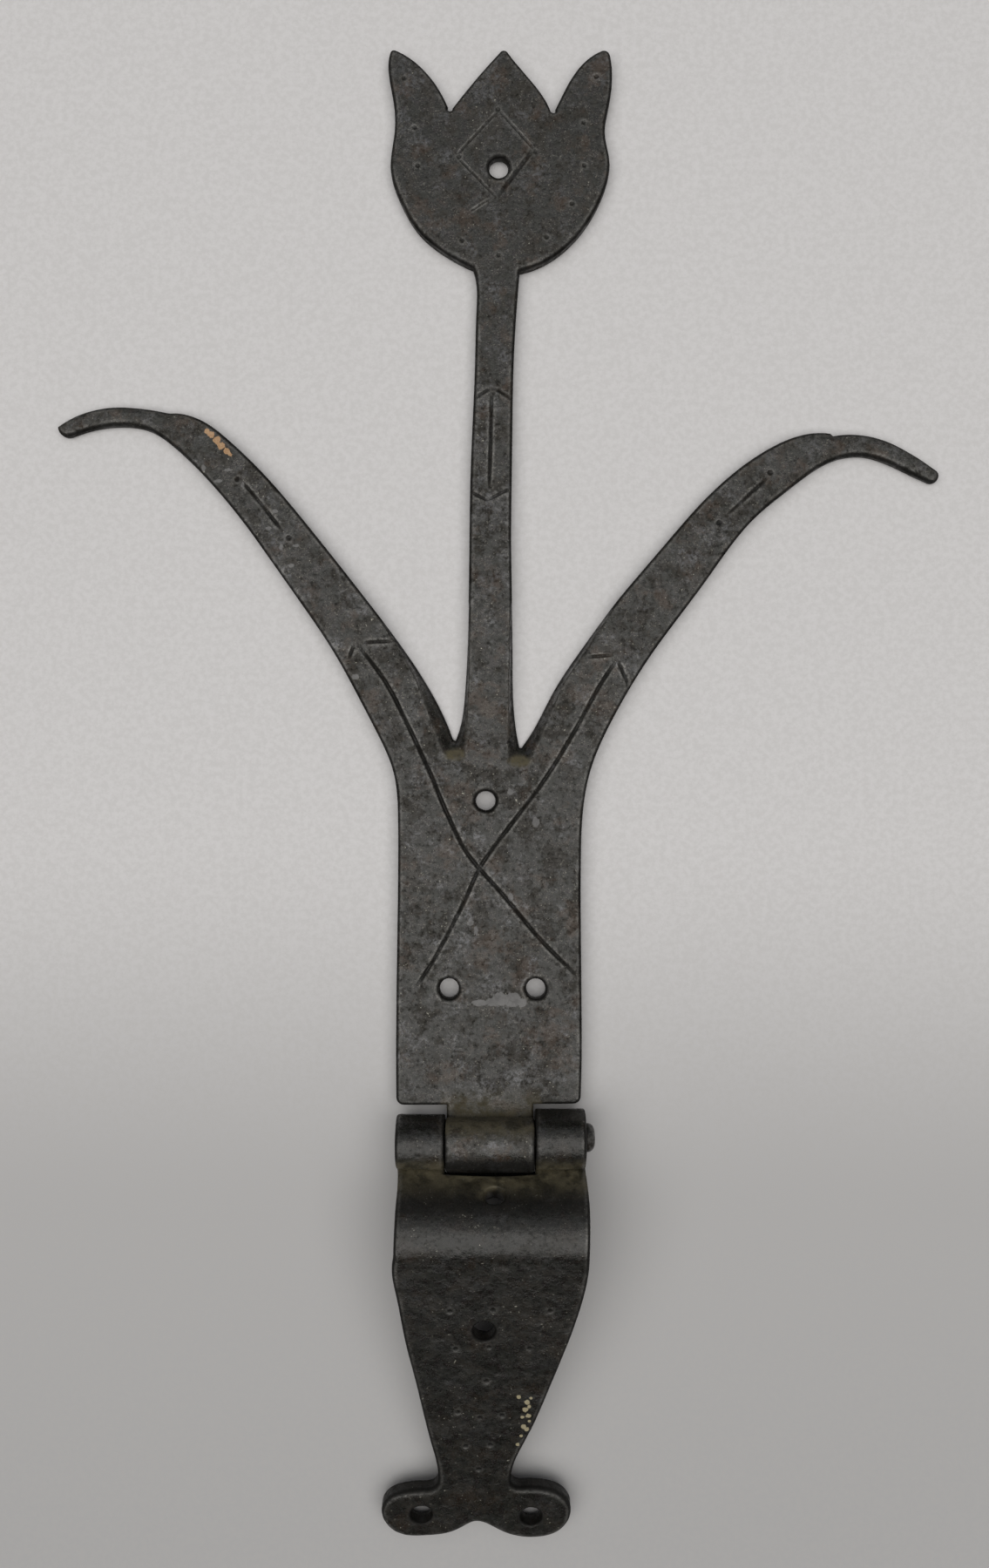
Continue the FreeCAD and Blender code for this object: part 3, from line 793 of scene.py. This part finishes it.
class LeafPath:
    """The leaf's profile in the YZ plane: flange up from the barrel, crest, leg down to the foot."""

    def __init__(self):
        flange_n, leg_n = mount_axis("flange_nail_hole")[1:], mount_axis("leg_nail_hole")[1:]
        self.back = -flange_n
        self.rise = np.array([-flange_n[1], flange_n[0]])
        self.fall = np.array([-leg_n[1], leg_n[0]])
        self.leg_back = -leg_n
        axis = AXIS[1:]
        self.start = axis + self.back * (BARREL_R - LEAF_T)
        leg_face = mount_at("leg_nail_hole")[1:] + leg_n * 0.5 * LEG_T
        system = np.column_stack([self.rise, -self.fall])
        reach, _ = np.linalg.solve(system, leg_face - self.start)
        crest = self.start + self.rise * reach
        self.turn = math.acos(float(self.rise @ self.fall))
        tangent = CREST_R * math.tan(self.turn / 2)
        self.s_bend = reach - tangent
        self.s_leg = self.s_bend + CREST_R * self.turn
        self.bend_start = crest - self.rise * tangent
        self.leg_start = crest + self.fall * tangent
        self.centre = self.bend_start + self.back * CREST_R

    def front(self, s):
        """Place on the front face and the direction to the back face, for s above 0."""
        s = s[:, None]
        angle = np.clip((s - self.s_bend) / CREST_R, 0, self.turn)
        back = self.back * np.cos(angle) - self.rise * np.sin(angle)
        on_bend = self.centre - CREST_R * back
        place = np.where(s < self.s_bend, self.start + self.rise * s, on_bend)
        place = np.where(s > self.s_leg, self.leg_start + self.fall * (s - self.s_leg), place)
        return place, back

    def thickness(self, s):
        """The flange's thickness, easing to the leg's round the crest."""
        return LEAF_T + (LEG_T - LEAF_T) * smooth(s, self.s_bend, self.s_leg)


PATH = LeafPath()
NOTCH_X = (-12.75, 12.25)
NOTCH_S = 5.5
EYE_X = (-26.1, 26.1)


def leaf_face(at, along, normal):
    """A flat face of the leaf, from its place and directions in the YZ plane."""
    return plane_rim("cranked_leaf", *[np.concatenate([[0], v]) for v in (at, along, normal)])


def flange_sides():
    """The curved left and right sides of the flange, each from the barrel up."""
    corners, rim = leaf_face(AXIS[1:] + PATH.back * BARREL_R, PATH.rise, PATH.back)
    flange = corners[list(rim)]
    sides = flange[(np.abs(flange[:, 0]) > 20) & (flange[:, 1] > 2)]
    left, right = sides[sides[:, 0] < 0], sides[sides[:, 0] > 0]
    return left[left[:, 1].argsort()], right[right[:, 1].argsort()]


def leg_outline():
    """The leg and foot, from the leg's upper left corner round to its upper right one."""
    leg_back = PATH.leg_start + PATH.leg_back * LEG_T
    leg = longest_loop(*leaf_face(leg_back, PATH.fall, PATH.leg_back))
    leg = np.column_stack([leg[:, 0], leg[:, 1] + PATH.s_leg])
    top = leg[:, 1].min()
    start = np.flatnonzero((np.abs(leg[:, 1] - top) < 0.05) & (leg[:, 0] < 0))[0]
    leg = np.roll(leg, -start, axis=0)
    if leg[1, 1] - top < 0.3:
        leg = np.roll(leg[::-1], 1, axis=0)
    closing = (leg[:, 1] < top + 0.3) & (leg[:, 0] < 0)
    closing[0] = False
    return leg[~closing]


def leaf_hole(name):
    """A nail hole's place on the flattened leaf."""
    at = mount_at(name)
    if name.startswith("flange"):
        return at[0], (at[1:] - PATH.start) @ PATH.rise
    return at[0], (at[1:] - PATH.leg_start) @ PATH.fall + PATH.s_leg


def leaf_loops():
    """The leaf's flat outline: eyes and notch, flange, leg and two-lobed foot, then its holes."""
    left, right = flange_sides()
    end = -ROLL_END * BARREL_R
    low_left = [(NOTCH_X[0], end), (EYE_X[0], end), (EYE_X[0], 0.5)]
    high_right = [(EYE_X[1], 0.5), (EYE_X[1], end), (NOTCH_X[1], end)]
    notch = [(NOTCH_X[1], NOTCH_S), (NOTCH_X[0], NOTCH_S)]
    outline = np.vstack([low_left, left, leg_outline(), right[::-1], high_right, notch])
    names = ("flange_nail_hole", "leg_nail_hole", "foot_nail_hole_left", "foot_nail_hole_right")
    return [resampled(outline, RIM_STEP)] + [hole_loop(leaf_hole(name)) for name in names]


def leg_s(y):
    """Distance along the sheet of a place on the leg's face, from its Y."""
    return PATH.s_leg + (y - PATH.leg_start[0]) / PATH.fall[0]


def leaf_punch_marks():
    spots = [(-10.8, -41.2), (0.6, -40.8), (15.8, -41.1), (-9.4, -52.6), (-0.5, -52.0), (10.4, -52.4),
             (-1.2, -62.5), (-8.9, -72.0), (-3.0, -73.8), (3.1, -73.0), (-6.9, -82.6), (-0.1, -82.4),
             (-3.3, -90.0)]
    return [Punch((x, leg_s(y)), 0.8, 0.34) for x, y in spots]


def paint_flecks():
    """Dry paint spatter on the right of the leg: centre and size of each fleck."""
    spots = [(7.6, -67.2, 0.7), (9.9, -68.8, 0.9), (10.9, -67.6, 0.5), (9.4, -71.1, 0.9),
             (10.2, -73.0, 0.8), (8.6, -73.5, 0.6), (9.0, -76.5, 0.9), (9.8, -77.3, 0.7),
             (10.5, -74.8, 0.6), (7.3, -82.1, 0.6), (10.4, -70.2, 0.6), (8.3, -79.4, 0.5)]
    return [((x, leg_s(y)), size) for x, y, size in spots]


def leaf_front(loops, tools):
    def height(points):
        s = points[:, 1]
        rolled = s < 0
        distance, owner = rim_distance(points, loops)
        arris_radius = ARRIS_R * (1.25 + 0.35 * noise(points, 8, 7.0))
        hole_radius = HOLE_ARRIS_R * (1 + 0.7 * noise(points, 2.6, 4.0))
        radius = np.where(owner == 0, arris_radius, hole_radius)
        foot = smooth(s, leg_s(-94.0), leg_s(-99.0))
        radius = np.where(rolled, HIDDEN_ARRIS_R, radius + 0.35 * foot * (owner == 0))
        groove, lip = cut_depth(points, tools)
        wear = np.where(rolled, HIDDEN_SKIN, 1.15 * forged_skin(points, 21))
        h = PATH.thickness(s) - wear - groove - arris_drop(distance, radius)
        worn = worn_arris(distance, points, 4) * (owner == 0)
        fleck_and_sparkle = np.zeros(len(points))
        for centre, size in paint_flecks():
            fleck_and_sparkle = np.maximum(fleck_and_sparkle, blob(points, centre, 1.25 * size))
        dust = fall(s, 8.0, 19) * (s > 0) * (0.85 + 0.35 * noise(points, 3, 1.0))
        round_hole = blob(points, loops[1].mean(0) - (1.2, 1.6), (5.5, 4.5))
        dust = np.maximum(dust, 0.9 * np.clip(1.6 * round_hole, 0, 1))
        worn = np.where(rolled, 0, np.maximum(worn, 0.6 * lip))
        # dark paint in the punch marks, with dirt and painted shade along the arris
        cut = np.maximum(np.clip(groove / 0.34, 0, 1) ** 1.4, rim_grime_and_shade(distance, points))
        # dirt and painted shade on the flange below the crest, where the sheet faces away from the light
        valley_dirt_and_shade = 0.45 * fall(s, PATH.s_bend + 2.6, PATH.s_bend + 4.6) * (s > 0)
        cut = np.maximum(cut, valley_dirt_and_shade * (1 - dust))
        crest = smooth(s, PATH.s_bend + 3, PATH.s_bend + 6) * fall(s, PATH.s_leg - 2, PATH.s_leg + 6)
        return h, painted(len(points), worn=worn, cut=cut, pale=fleck_and_sparkle, dust=dust, polish=0.5 * crest)

    return height


def leaf_back(loops):
    def height(points):
        rolled = points[:, 1] < 0
        distance, owner = rim_distance(points, loops)
        radius = np.where(owner == 0, BACK_ARRIS_R, HOLE_ARRIS_R)
        outer = smooth(np.abs(points[:, 0]), 20, 23) * (0.6 + 0.5 * noise(points, 7, 2.0))
        radius = np.where(rolled, 0.5 + outer + 0.6 * smooth(-points[:, 1], 38, 42), radius)
        wear = np.where(rolled, 1.3 * forged_skin(points, 24), 0.6 * forged_skin(points, 26))
        h = wear + arris_drop(distance, radius)
        angle = -points[:, 1] / BARREL_R
        worn = 0.6 * worn_arris(distance, points, 5)
        polish = 0.6 * smooth(angle, 3.0, 3.4) * fall(angle, 4.1, 4.6)
        # dirt and painted shade along the arris
        grime_and_shade = rim_grime_and_shade(distance, points)
        dust = 0.6 * smooth(angle, 4.4, 4.9)
        return h, painted(len(points), worn=worn, cut=grime_and_shade, polish=polish, dust=dust)

    return height


def eye_radius(x, angle):
    """Outer radius of the leaf's own eyes, which are rolled a little off the pin's axis."""
    direction_y = PATH.back[0] * np.cos(angle) - PATH.rise[0] * np.sin(angle)
    size = np.where(x < 0, LEFT_EYE[0], RIGHT_EYE[0])
    offset = np.where(x < 0, LEFT_EYE[1], RIGHT_EYE[1])
    reach = offset * direction_y + np.sqrt(size ** 2 - (offset ** 2) * (1 - direction_y ** 2))
    return BARREL_R + (reach - BARREL_R) * smooth(angle, 0, math.radians(40))


def notch_shift(x, s, h):
    """The notch follows the strap's barrel, so its edge lies further out on the front face."""
    edge = np.sqrt(NOTCH_R ** 2 - (BARREL_R - np.clip(h, 0, LEAF_T)) ** 2)
    along = np.clip(1 - np.abs(s - NOTCH_S) / NOTCH_EASE, 0, 1)
    outside = np.maximum(NOTCH_X[0] - x, x - NOTCH_X[1])
    across = 1 - smooth(outside, 0, 4.0)
    bow = 0.8 * np.clip(1 - (x / 12.5) ** 2, 0, 1)
    return (edge - NOTCH_S + bow * h / LEAF_T) * along * across


def place_leaf(x, s, h):
    s = np.where(s < NOTCH_S + NOTCH_EASE, s + notch_shift(x, s, h), s)
    nominal = np.clip(-s / BARREL_R, 0, None)
    outer = eye_radius(x, nominal)
    radius = BORE_R + (LEAF_T - h) * (outer - BORE_R) / LEAF_T
    angle = roll_angle(s, radius)
    outward = PATH.back * np.cos(angle)[:, None] - PATH.rise * np.sin(angle)[:, None]
    curl = AXIS[1:] + radius[:, None] * outward
    face, back = PATH.front(np.maximum(s, 0))
    sheet = face + back * (PATH.thickness(s) - h)[:, None]
    yz = np.where((s < 0)[:, None], curl, sheet)
    return np.column_stack([x, yz])


def make_leaf():
    loops = leaf_loops()
    tools = leaf_punch_marks()
    details = [tool.rows() for tool in tools]
    details.append(fine_patch((9.2, leg_s(-72)), 6.5, 0.3))
    details.append(fine_patch((8.2, leg_s(-80)), 4.5, 0.3))
    front = (face_points(loops, details, LEAF_STEP), leaf_front(loops, tools))
    roll_detail = hex_grid(loops[:1], LEAF_STEP)
    roll_detail = roll_detail[roll_detail[:, 1] < 2]
    back = (face_points(loops, [roll_detail], 1.1), leaf_back(loops))
    leaf = build_skin("leaf_forging", loops, front, back, place_leaf, wall_wear(0.07, 4.0))
    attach(leaf, "leaf")
    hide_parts("cranked_leaf")
    return leaf


# ---------------------------------------------------------------- the pin

def pin_profile(tail, tip):
    """Rings along the pin as (x, radius, 1 on the head): peened tail, rod, domed head."""
    shoulder = tip - HEAD_LENGTH
    rod = PIN_R - ROD_CLEARANCE
    profile = [(tail, 0.0, 0), (tail + 0.03, 1.4, 0), (tail + 0.1, 2.5, 0), (tail + 0.3, 3.2, 0),
               (tail + 0.7, rod, 0)]
    profile += [(x, rod, 0) for x in np.linspace(tail + 2, shoulder - 0.6, 26)]
    profile += [(shoulder - 0.02, rod, 0.0), (shoulder + 0.02, 3.7, 1), (shoulder + 0.25, 3.95, 1)]
    for angle in np.linspace(0, 0.5 * math.pi, 10)[1:]:
        x = shoulder + 0.5 + (HEAD_LENGTH - 0.52) * math.sin(angle)
        profile.append((x, HEAD_R * math.cos(angle) ** 0.55, 1))
    return profile


def pin_ring(x, radius, in_head, angles):
    """One dented ring of the pin; the head sits off the axis, where the hammer drove it."""
    around = np.column_stack([np.full(len(angles), x), angles * 7])
    dent = 0.10 * np.clip(0.6 + noise(around, 3.1, 1.0) + 0.5 * noise(around, 1.3, 2.0), 0, 1.6)
    r = radius - dent * (radius > 3.55) - 0.3 * dent * (radius <= 3.55) * (radius > 1)
    sink = 0.35 * dent * in_head * (radius < 3.8)
    shift = HEAD_OFFSET_Y * in_head
    return np.column_stack([x - sink, AXIS[1] + shift + r * np.cos(angles), AXIS[2] + r * np.sin(angles)])


def make_pin():
    """A turned-over rod: peened tail on the left, hammered round head on the right."""
    low, high = [np.array(corner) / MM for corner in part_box("hinge_pin")]
    profile = pin_profile(low[0], high[0])
    count = PIN_SIDES
    angles = np.arange(count) * 2 * math.pi / count
    places = [pin_ring(x, radius, in_head, angles) for x, radius, in_head in profile]
    worn = [0.55 if in_head and 2.5 < radius < 3.9 else 0.1 for _, radius, in_head in profile]
    body = np.vstack(places[1:-1] + [places[0].mean(0)[None], places[-1].mean(0)[None]])
    worn = np.concatenate([np.repeat(worn[1:-1], count), [0.1, 0.3]])
    here, there = np.arange(count), (np.arange(count) + 1) % count
    top = (len(profile) - 3) * count
    quads = [np.column_stack([k + here, k + there, k + there + count, k + here + count])
             for k in range(0, top, count)]
    caps = [np.column_stack([there, here, np.full(count, len(body) - 2)]),
            np.column_stack([top + here, top + there, np.full(count, len(body) - 1)])]
    paint = painted(len(body), worn=worn)
    pin = make_mesh("pin_forging", body, np.vstack(caps), np.vstack(quads), paint)
    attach(pin, "leaf")
    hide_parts("hinge_pin")
    return pin


# ---------------------------------------------------------------- iron

class Nodes:
    """Short calls for building a material's node tree."""

    def __init__(self, material):
        material.use_nodes = True
        self.tree = material.node_tree
        self.tree.nodes.clear()
        coordinates = self.tree.nodes.new("ShaderNodeTexCoord").outputs["Object"]
        scale = self.tree.nodes.new("ShaderNodeVectorMath")
        scale.operation = "SCALE"
        scale.inputs["Scale"].default_value = 1 / MM
        self.tree.links.new(coordinates, scale.inputs[0])
        self.place = scale.outputs[0]

    def set(self, socket, value):
        if isinstance(value, bpy.types.NodeSocket):
            self.tree.links.new(value, socket)
        else:
            socket.default_value = value

    def texture(self, kind, size, place):
        """A texture moved to a place, with lumps about that many millimetres across."""
        node = self.tree.nodes.new(kind)
        mapping = self.tree.nodes.new("ShaderNodeMapping")
        mapping.inputs["Location"].default_value = place
        self.tree.links.new(self.place, mapping.inputs["Vector"])
        self.tree.links.new(mapping.outputs[0], node.inputs["Vector"])
        node.inputs["Scale"].default_value = 1 / size
        return node

    def noise(self, size, detail=3.0, rough=0.55, shift=0.0):
        """Noise from about 0.25 to 0.75."""
        node = self.texture("ShaderNodeTexNoise", size, (shift, 2 * shift, -shift))
        node.inputs["Detail"].default_value = detail
        node.inputs["Roughness"].default_value = rough
        return node.outputs[0]

    def spots(self, size, shift=0.0):
        """Distance to the nearest of many scattered places, in units of the size."""
        return self.texture("ShaderNodeTexVoronoi", size, (shift, -shift, shift)).outputs["Distance"]

    def ramp(self, value, low, high, start=0.0, end=1.0):
        """Maps low..high smoothly onto start..end."""
        node = self.tree.nodes.new("ShaderNodeMapRange")
        node.interpolation_type = "SMOOTHSTEP"
        self.set(node.inputs["Value"], value)
        for name, number in zip(("From Min", "From Max", "To Min", "To Max"), (low, high, start, end)):
            node.inputs[name].default_value = number
        return node.outputs["Result"]

    def math(self, operation, a, b):
        node = self.tree.nodes.new("ShaderNodeMath")
        node.operation = operation
        self.set(node.inputs[0], a)
        self.set(node.inputs[1], b)
        return node.outputs[0]

    def times(self, a, b):
        return self.math("MULTIPLY", a, b)

    def most(self, *values):
        """The largest of several values."""
        largest = values[0]
        for value in values[1:]:
            largest = self.math("MAXIMUM", largest, value)
        return largest

    def mix(self, share, a, b):
        node = self.tree.nodes.new("ShaderNodeMix")
        node.data_type = "RGBA"
        self.set(node.inputs["Factor"], share)
        for name, value in (("A", a), ("B", b)):
            socket = [s for s in node.inputs if s.name == name and s.type == "RGBA"][0]
            self.set(socket, value if isinstance(value, bpy.types.NodeSocket) else (*value, 1))
        return [s for s in node.outputs if s.type == "RGBA"][0]

    def attribute(self, name):
        node = self.tree.nodes.new("ShaderNodeAttribute")
        node.attribute_name = name
        return node.outputs["Fac"]

    def bump(self, height, distance, strength, normal=None):
        """A normal roughened by a height, up to a depth in millimetres."""
        node = self.tree.nodes.new("ShaderNodeBump")
        self.set(node.inputs["Strength"], strength)
        node.inputs["Distance"].default_value = distance * MM
        self.set(node.inputs["Height"], height)
        if normal is not None:
            self.set(node.inputs["Normal"], normal)
        return node.outputs["Normal"]

    def surface(self, colour, rough, metal, normal, gloss):
        """The shader and the output; gloss is one number for the whole surface."""
        shader = self.tree.nodes.new("ShaderNodeBsdfPrincipled")
        self.set(shader.inputs["Base Color"], colour)
        self.set(shader.inputs["Roughness"], rough)
        self.set(shader.inputs["Metallic"], metal)
        self.set(shader.inputs["Normal"], normal)
        shader.inputs["Specular IOR Level"].default_value = gloss
        output = self.tree.nodes.new("ShaderNodeOutputMaterial")
        self.tree.links.new(shader.outputs[0], output.inputs[0])


# linear colours of the iron and of what lies on it, with the painted sparkle and painted shade
BROWN_BLACK = (0.0080, 0.0080, 0.0056)
GREY_SKIN = (0.0165, 0.0160, 0.0135)
OLIVE_TINT = (0.0125, 0.0132, 0.0068)
PLUM_TINT = (0.0220, 0.0150, 0.0150)
UMBER_BLOTCH = (0.023, 0.0180, 0.0115)
RUST = (0.050, 0.029, 0.016)
PIT_BLACK = (0.005, 0.0047, 0.0037)
WAX_BLACK = (0.001, 0.001, 0.0008)
BARE_STEEL = (0.110, 0.110, 0.116)
GLINT = (0.150, 0.146, 0.125)
WHITE_SPARKLE = (0.36, 0.35, 0.30)
RUBBED_STEEL = (0.20, 0.195, 0.185)
GRIME_AND_SHADE = (0.006, 0.0055, 0.0045)
DUST = (0.105, 0.090, 0.053)
ORANGE_SCRAPES = (0.42, 0.22, 0.10), (0.50, 0.32, 0.17)
STRAP_SCUFF = (0.150, 0.147, 0.147)
LEAF_PAINT = (0.42, 0.37, 0.24)


def iron(name, shift, bareness, roughness, gloss, darkening, pale_colour):
    """Waxed, hand-worked iron: mottled brown and grey skin, bright worn arrises, dull cuts, painted shade and
    painted sparkle highlights.

    shift moves the textures so that no two pieces match. bareness is how much of the skin is
    rubbed to metal, roughness is its range, and darkening is how far wax blackens it.
    """
    material = bpy.data.materials.new(name)
    n = Nodes(material)
    cloud = n.noise(17, 4, 0.6, shift)
    blotch = n.noise(4.6, 5, 0.65, shift + 30)
    grain = n.noise(1.15, 5, 0.7, shift + 60)
    speck = n.noise(0.45, 3, 0.7, shift + 90)
    rust = n.noise(8.5, 6, 0.7, shift + 120)
    steel = n.noise(6.5, 6, 0.68, shift + 150)
    tint = n.noise(2.3, 4, 0.65, shift + 240)
    worn, cut, polish = [n.attribute(channel) for channel in ("worn", "cut", "polish")]

    # the iron's own skin, with painted sparkle highlights on it
    colour = n.mix(n.ramp(cloud, 0.34, 0.66), BROWN_BLACK, GREY_SKIN)
    colour = n.mix(n.ramp(tint, 0.38, 0.50, 0.7, 0), colour, OLIVE_TINT)
    colour = n.mix(n.ramp(tint, 0.52, 0.64, 0, 0.7), colour, PLUM_TINT)
    colour = n.mix(n.ramp(blotch, 0.46, 0.60, 0, 0.75), colour, UMBER_BLOTCH)
    colour = n.mix(n.ramp(rust, 0.52, 0.64, 0, 0.2 + 0.6 * bareness), colour, RUST)
    colour = n.mix(n.ramp(grain, 0.32, 0.52, 0.6, 0), colour, PIT_BLACK)
    colour = n.mix(darkening, colour, WAX_BLACK)
    bare = n.times(n.ramp(steel, 0.50, 0.66, 0, bareness), n.ramp(grain, 0.44, 0.60, 0.1, 1.0))
    colour = n.mix(bare, colour, BARE_STEEL)
    # painted highlights: small bright glints and white sparkles that stand in for light caught on tiny facets
    glint = n.times(n.ramp(speck, 0.54, 0.68, 0, bareness), n.ramp(tint, 0.42, 0.58, 0.2, 1.0))
    colour = n.mix(glint, colour, GLINT)
    sparkle_noise = n.noise(0.75, 2, 0.5, shift + 180)
    fleck_and_sparkle = n.times(n.ramp(sparkle_noise, 0.68, 0.74), n.ramp(blotch, 0.46, 0.60))
    colour = n.mix(fleck_and_sparkle, colour, WHITE_SPARKLE)

    # wear, cuts and dust where the mesh is painted with them, and painted shade along arrises, on the walls, on
    # the flange below the crest and on the strap barrel's lower side
    worn = n.times(worn, n.ramp(grain, 0.38, 0.60, 0.15, 1.0))
    colour = n.mix(n.times(worn, 0.8), colour, RUBBED_STEEL)
    colour = n.mix(n.times(cut, 0.95), colour, GRIME_AND_SHADE)
    settled = n.times(n.attribute("dust"), n.ramp(blotch, 0.36, 0.56, 0.35, 1.0))
    colour = n.mix(settled, colour, DUST)
    ragged = n.math("SUBTRACT", grain, 0.5)
    orange = n.ramp(n.math("ADD", n.attribute("orange"), n.times(ragged, 1.1)), 0.30, 0.42)
    colour = n.mix(orange, colour, n.mix(n.ramp(speck, 0.35, 0.6), *ORANGE_SCRAPES))
    pale = n.ramp(n.math("ADD", n.attribute("pale"), ragged), 0.24, 0.40)
    colour = n.mix(n.times(pale, 0.85), colour, pale_colour)

    scale = n.times(n.ramp(cloud, 0.36, 0.60, 0.4, 1.0), n.ramp(blotch, 0.42, 0.58))
    rough = n.ramp(scale, 0.0, 1.0, *roughness)
    rough = n.math("ADD", rough, n.ramp(tint, 0.40, 0.60, 0.10, -0.05))
    rough = n.math("ADD", rough, n.ramp(grain, 0.34, 0.56, 0.12, -0.04))
    rough = n.math("SUBTRACT", rough, n.times(polish, 0.14))
    rough = n.math("SUBTRACT", rough, n.times(n.most(worn, bare), 0.08))
    rough = n.math("ADD", rough, n.times(n.most(cut, settled), 0.35))

    # cuts, pits and painted shade are part metal with a dark colour, so that they hardly reflect
    metal = n.times(n.most(bare, glint, worn, fleck_and_sparkle), 0.6)
    metal = n.most(metal, n.ramp(grain, 0.30, 0.50, 0.45, 0.0), n.times(cut, 0.62))
    covered = n.most(settled, orange, pale)
    metal = n.times(metal, n.math("SUBTRACT", 1.0, covered))

    relief = n.math("SUBTRACT", 1.0, n.times(polish, 0.35))
    normal = n.bump(n.noise(3.4, 4, 0.6, shift + 210), 0.38, n.times(relief, 0.6))
    normal = n.bump(n.spots(1.9, shift), 0.10, n.times(relief, 0.35), normal)
    normal = n.bump(grain, 0.15, n.times(relief, 0.8), normal)
    normal = n.bump(speck, 0.05, n.times(relief, 0.8), normal)
    n.surface(colour, rough, metal, normal, gloss)
    return material


# ---------------------------------------------------------------- stage

FLOOR_Z = -0.3
FLOOR_HALF = 1400.0
FLOOR_SHADED_FOOT_END = (0.49, 0.488, 0.494)
FLOOR_MIDDLE = (0.54, 0.535, 0.54)
FLOOR_LIT_TULIP_END = (0.80, 0.79, 0.80)
FLOOR_MOTTLE = (0.55, 0.54, 0.53)
CAMERA_AT = (1.0, 99.0, 370.0)
LENS = 29.93
PANEL_HEIGHT = 4.0
PANEL_RADIANCE = 1.55
ROOM_COLOUR = (0.85, 0.87, 0.9, 1)
ROOM_LIGHT = 0.03


def make_floor():
    """A pale matt board under the hinge, with painted light falloff: its colour is darker towards the foot and
    lighter towards the tulip, standing in for uneven light.
    """
    corners = [(i * FLOOR_HALF, j * FLOOR_HALF, FLOOR_Z) for i, j in ((-1, -1), (1, -1), (1, 1), (-1, 1))]
    mesh = bpy.data.meshes.new("floor")
    mesh.from_pydata([Vector(corner) * MM for corner in corners], [], [(0, 1, 2, 3)])
    floor = in_scene("floor", mesh)
    material = bpy.data.materials.new("floor_board")
    n = Nodes(material)
    reach = n.tree.nodes.new("ShaderNodeSeparateXYZ")
    n.tree.links.new(n.place, reach.inputs[0])
    along = reach.outputs["Y"]
    # painted light falloff: the board's colour darkens towards the foot and lightens towards the tulip
    near = n.mix(n.ramp(along, -170, 20), FLOOR_SHADED_FOOT_END, FLOOR_MIDDLE)
    board = n.mix(n.ramp(along, -25, 90), near, FLOOR_LIT_TULIP_END)
    mottled = n.mix(n.ramp(n.noise(1.6, 4, 0.7), 0.35, 0.65, 0, 0.25), board, FLOOR_MOTTLE)
    n.surface(mottled, 0.8, 0.0, n.bump(n.noise(2.2, 3, 0.6), 0.1, 0.3), 0.2)
    mesh.materials.append(material)


def ceiling_panel(name, sideways, lengthways, radiance, colour):
    """A level soft box overhead; its edges are angles from the vertical above the barrel, in degrees."""
    left, right = PANEL_HEIGHT * np.tan(np.radians(sideways))
    near, far = PANEL_HEIGHT * np.tan(np.radians(lengthways))
    data = bpy.data.lights.new(name, "AREA")
    data.shape = "RECTANGLE"
    data.size = right - left
    data.size_y = far - near
    data.energy = radiance * math.pi * data.size * data.size_y
    data.color = colour
    lamp = in_scene(name, data)
    lamp.location = (0.5 * (left + right), 0.5 * (near + far), PANEL_HEIGHT)


def make_lights():
    ceiling_panel("overhead", (-52, 44), (-38, 21), PANEL_RADIANCE, (1.0, 0.98, 0.945))
    ceiling_panel("far_side", (-50, 44), (21, 58), 0.3 * PANEL_RADIANCE, (0.98, 0.99, 1.0))
    world = bpy.data.worlds.new("room")
    world.use_nodes = True
    background = world.node_tree.nodes["Background"]
    background.inputs["Color"].default_value = ROOM_COLOUR
    background.inputs["Strength"].default_value = ROOM_LIGHT
    bpy.context.scene.world = world


def make_camera():
    """Straight above the strap, a short arm's length away, looking down."""
    data = bpy.data.cameras.new("camera")
    data.lens = LENS
    data.clip_start = 0.01
    camera = in_scene("camera", data)
    camera.location = Vector(CAMERA_AT) * MM
    bpy.context.scene.camera = camera


strap = make_strap()
leaf = make_leaf()
pin = make_pin()
strap.data.materials.append(iron("strap_iron", shift=0.0, bareness=1.0, roughness=(0.30, 0.64),
                                 gloss=0.61, darkening=0.12, pale_colour=STRAP_SCUFF))
leaf.data.materials.append(iron("leaf_iron", shift=400.0, bareness=0.22, roughness=(0.27, 0.36),
                                gloss=0.57, darkening=0.45, pale_colour=LEAF_PAINT))
pin.data.materials.append(iron("pin_iron", shift=900.0, bareness=0.2, roughness=(0.35, 0.55),
                               gloss=0.45, darkening=0.4, pale_colour=LEAF_PAINT))
make_floor()
make_lights()
make_camera()
bpy.context.scene.view_settings.view_transform = "Standard"
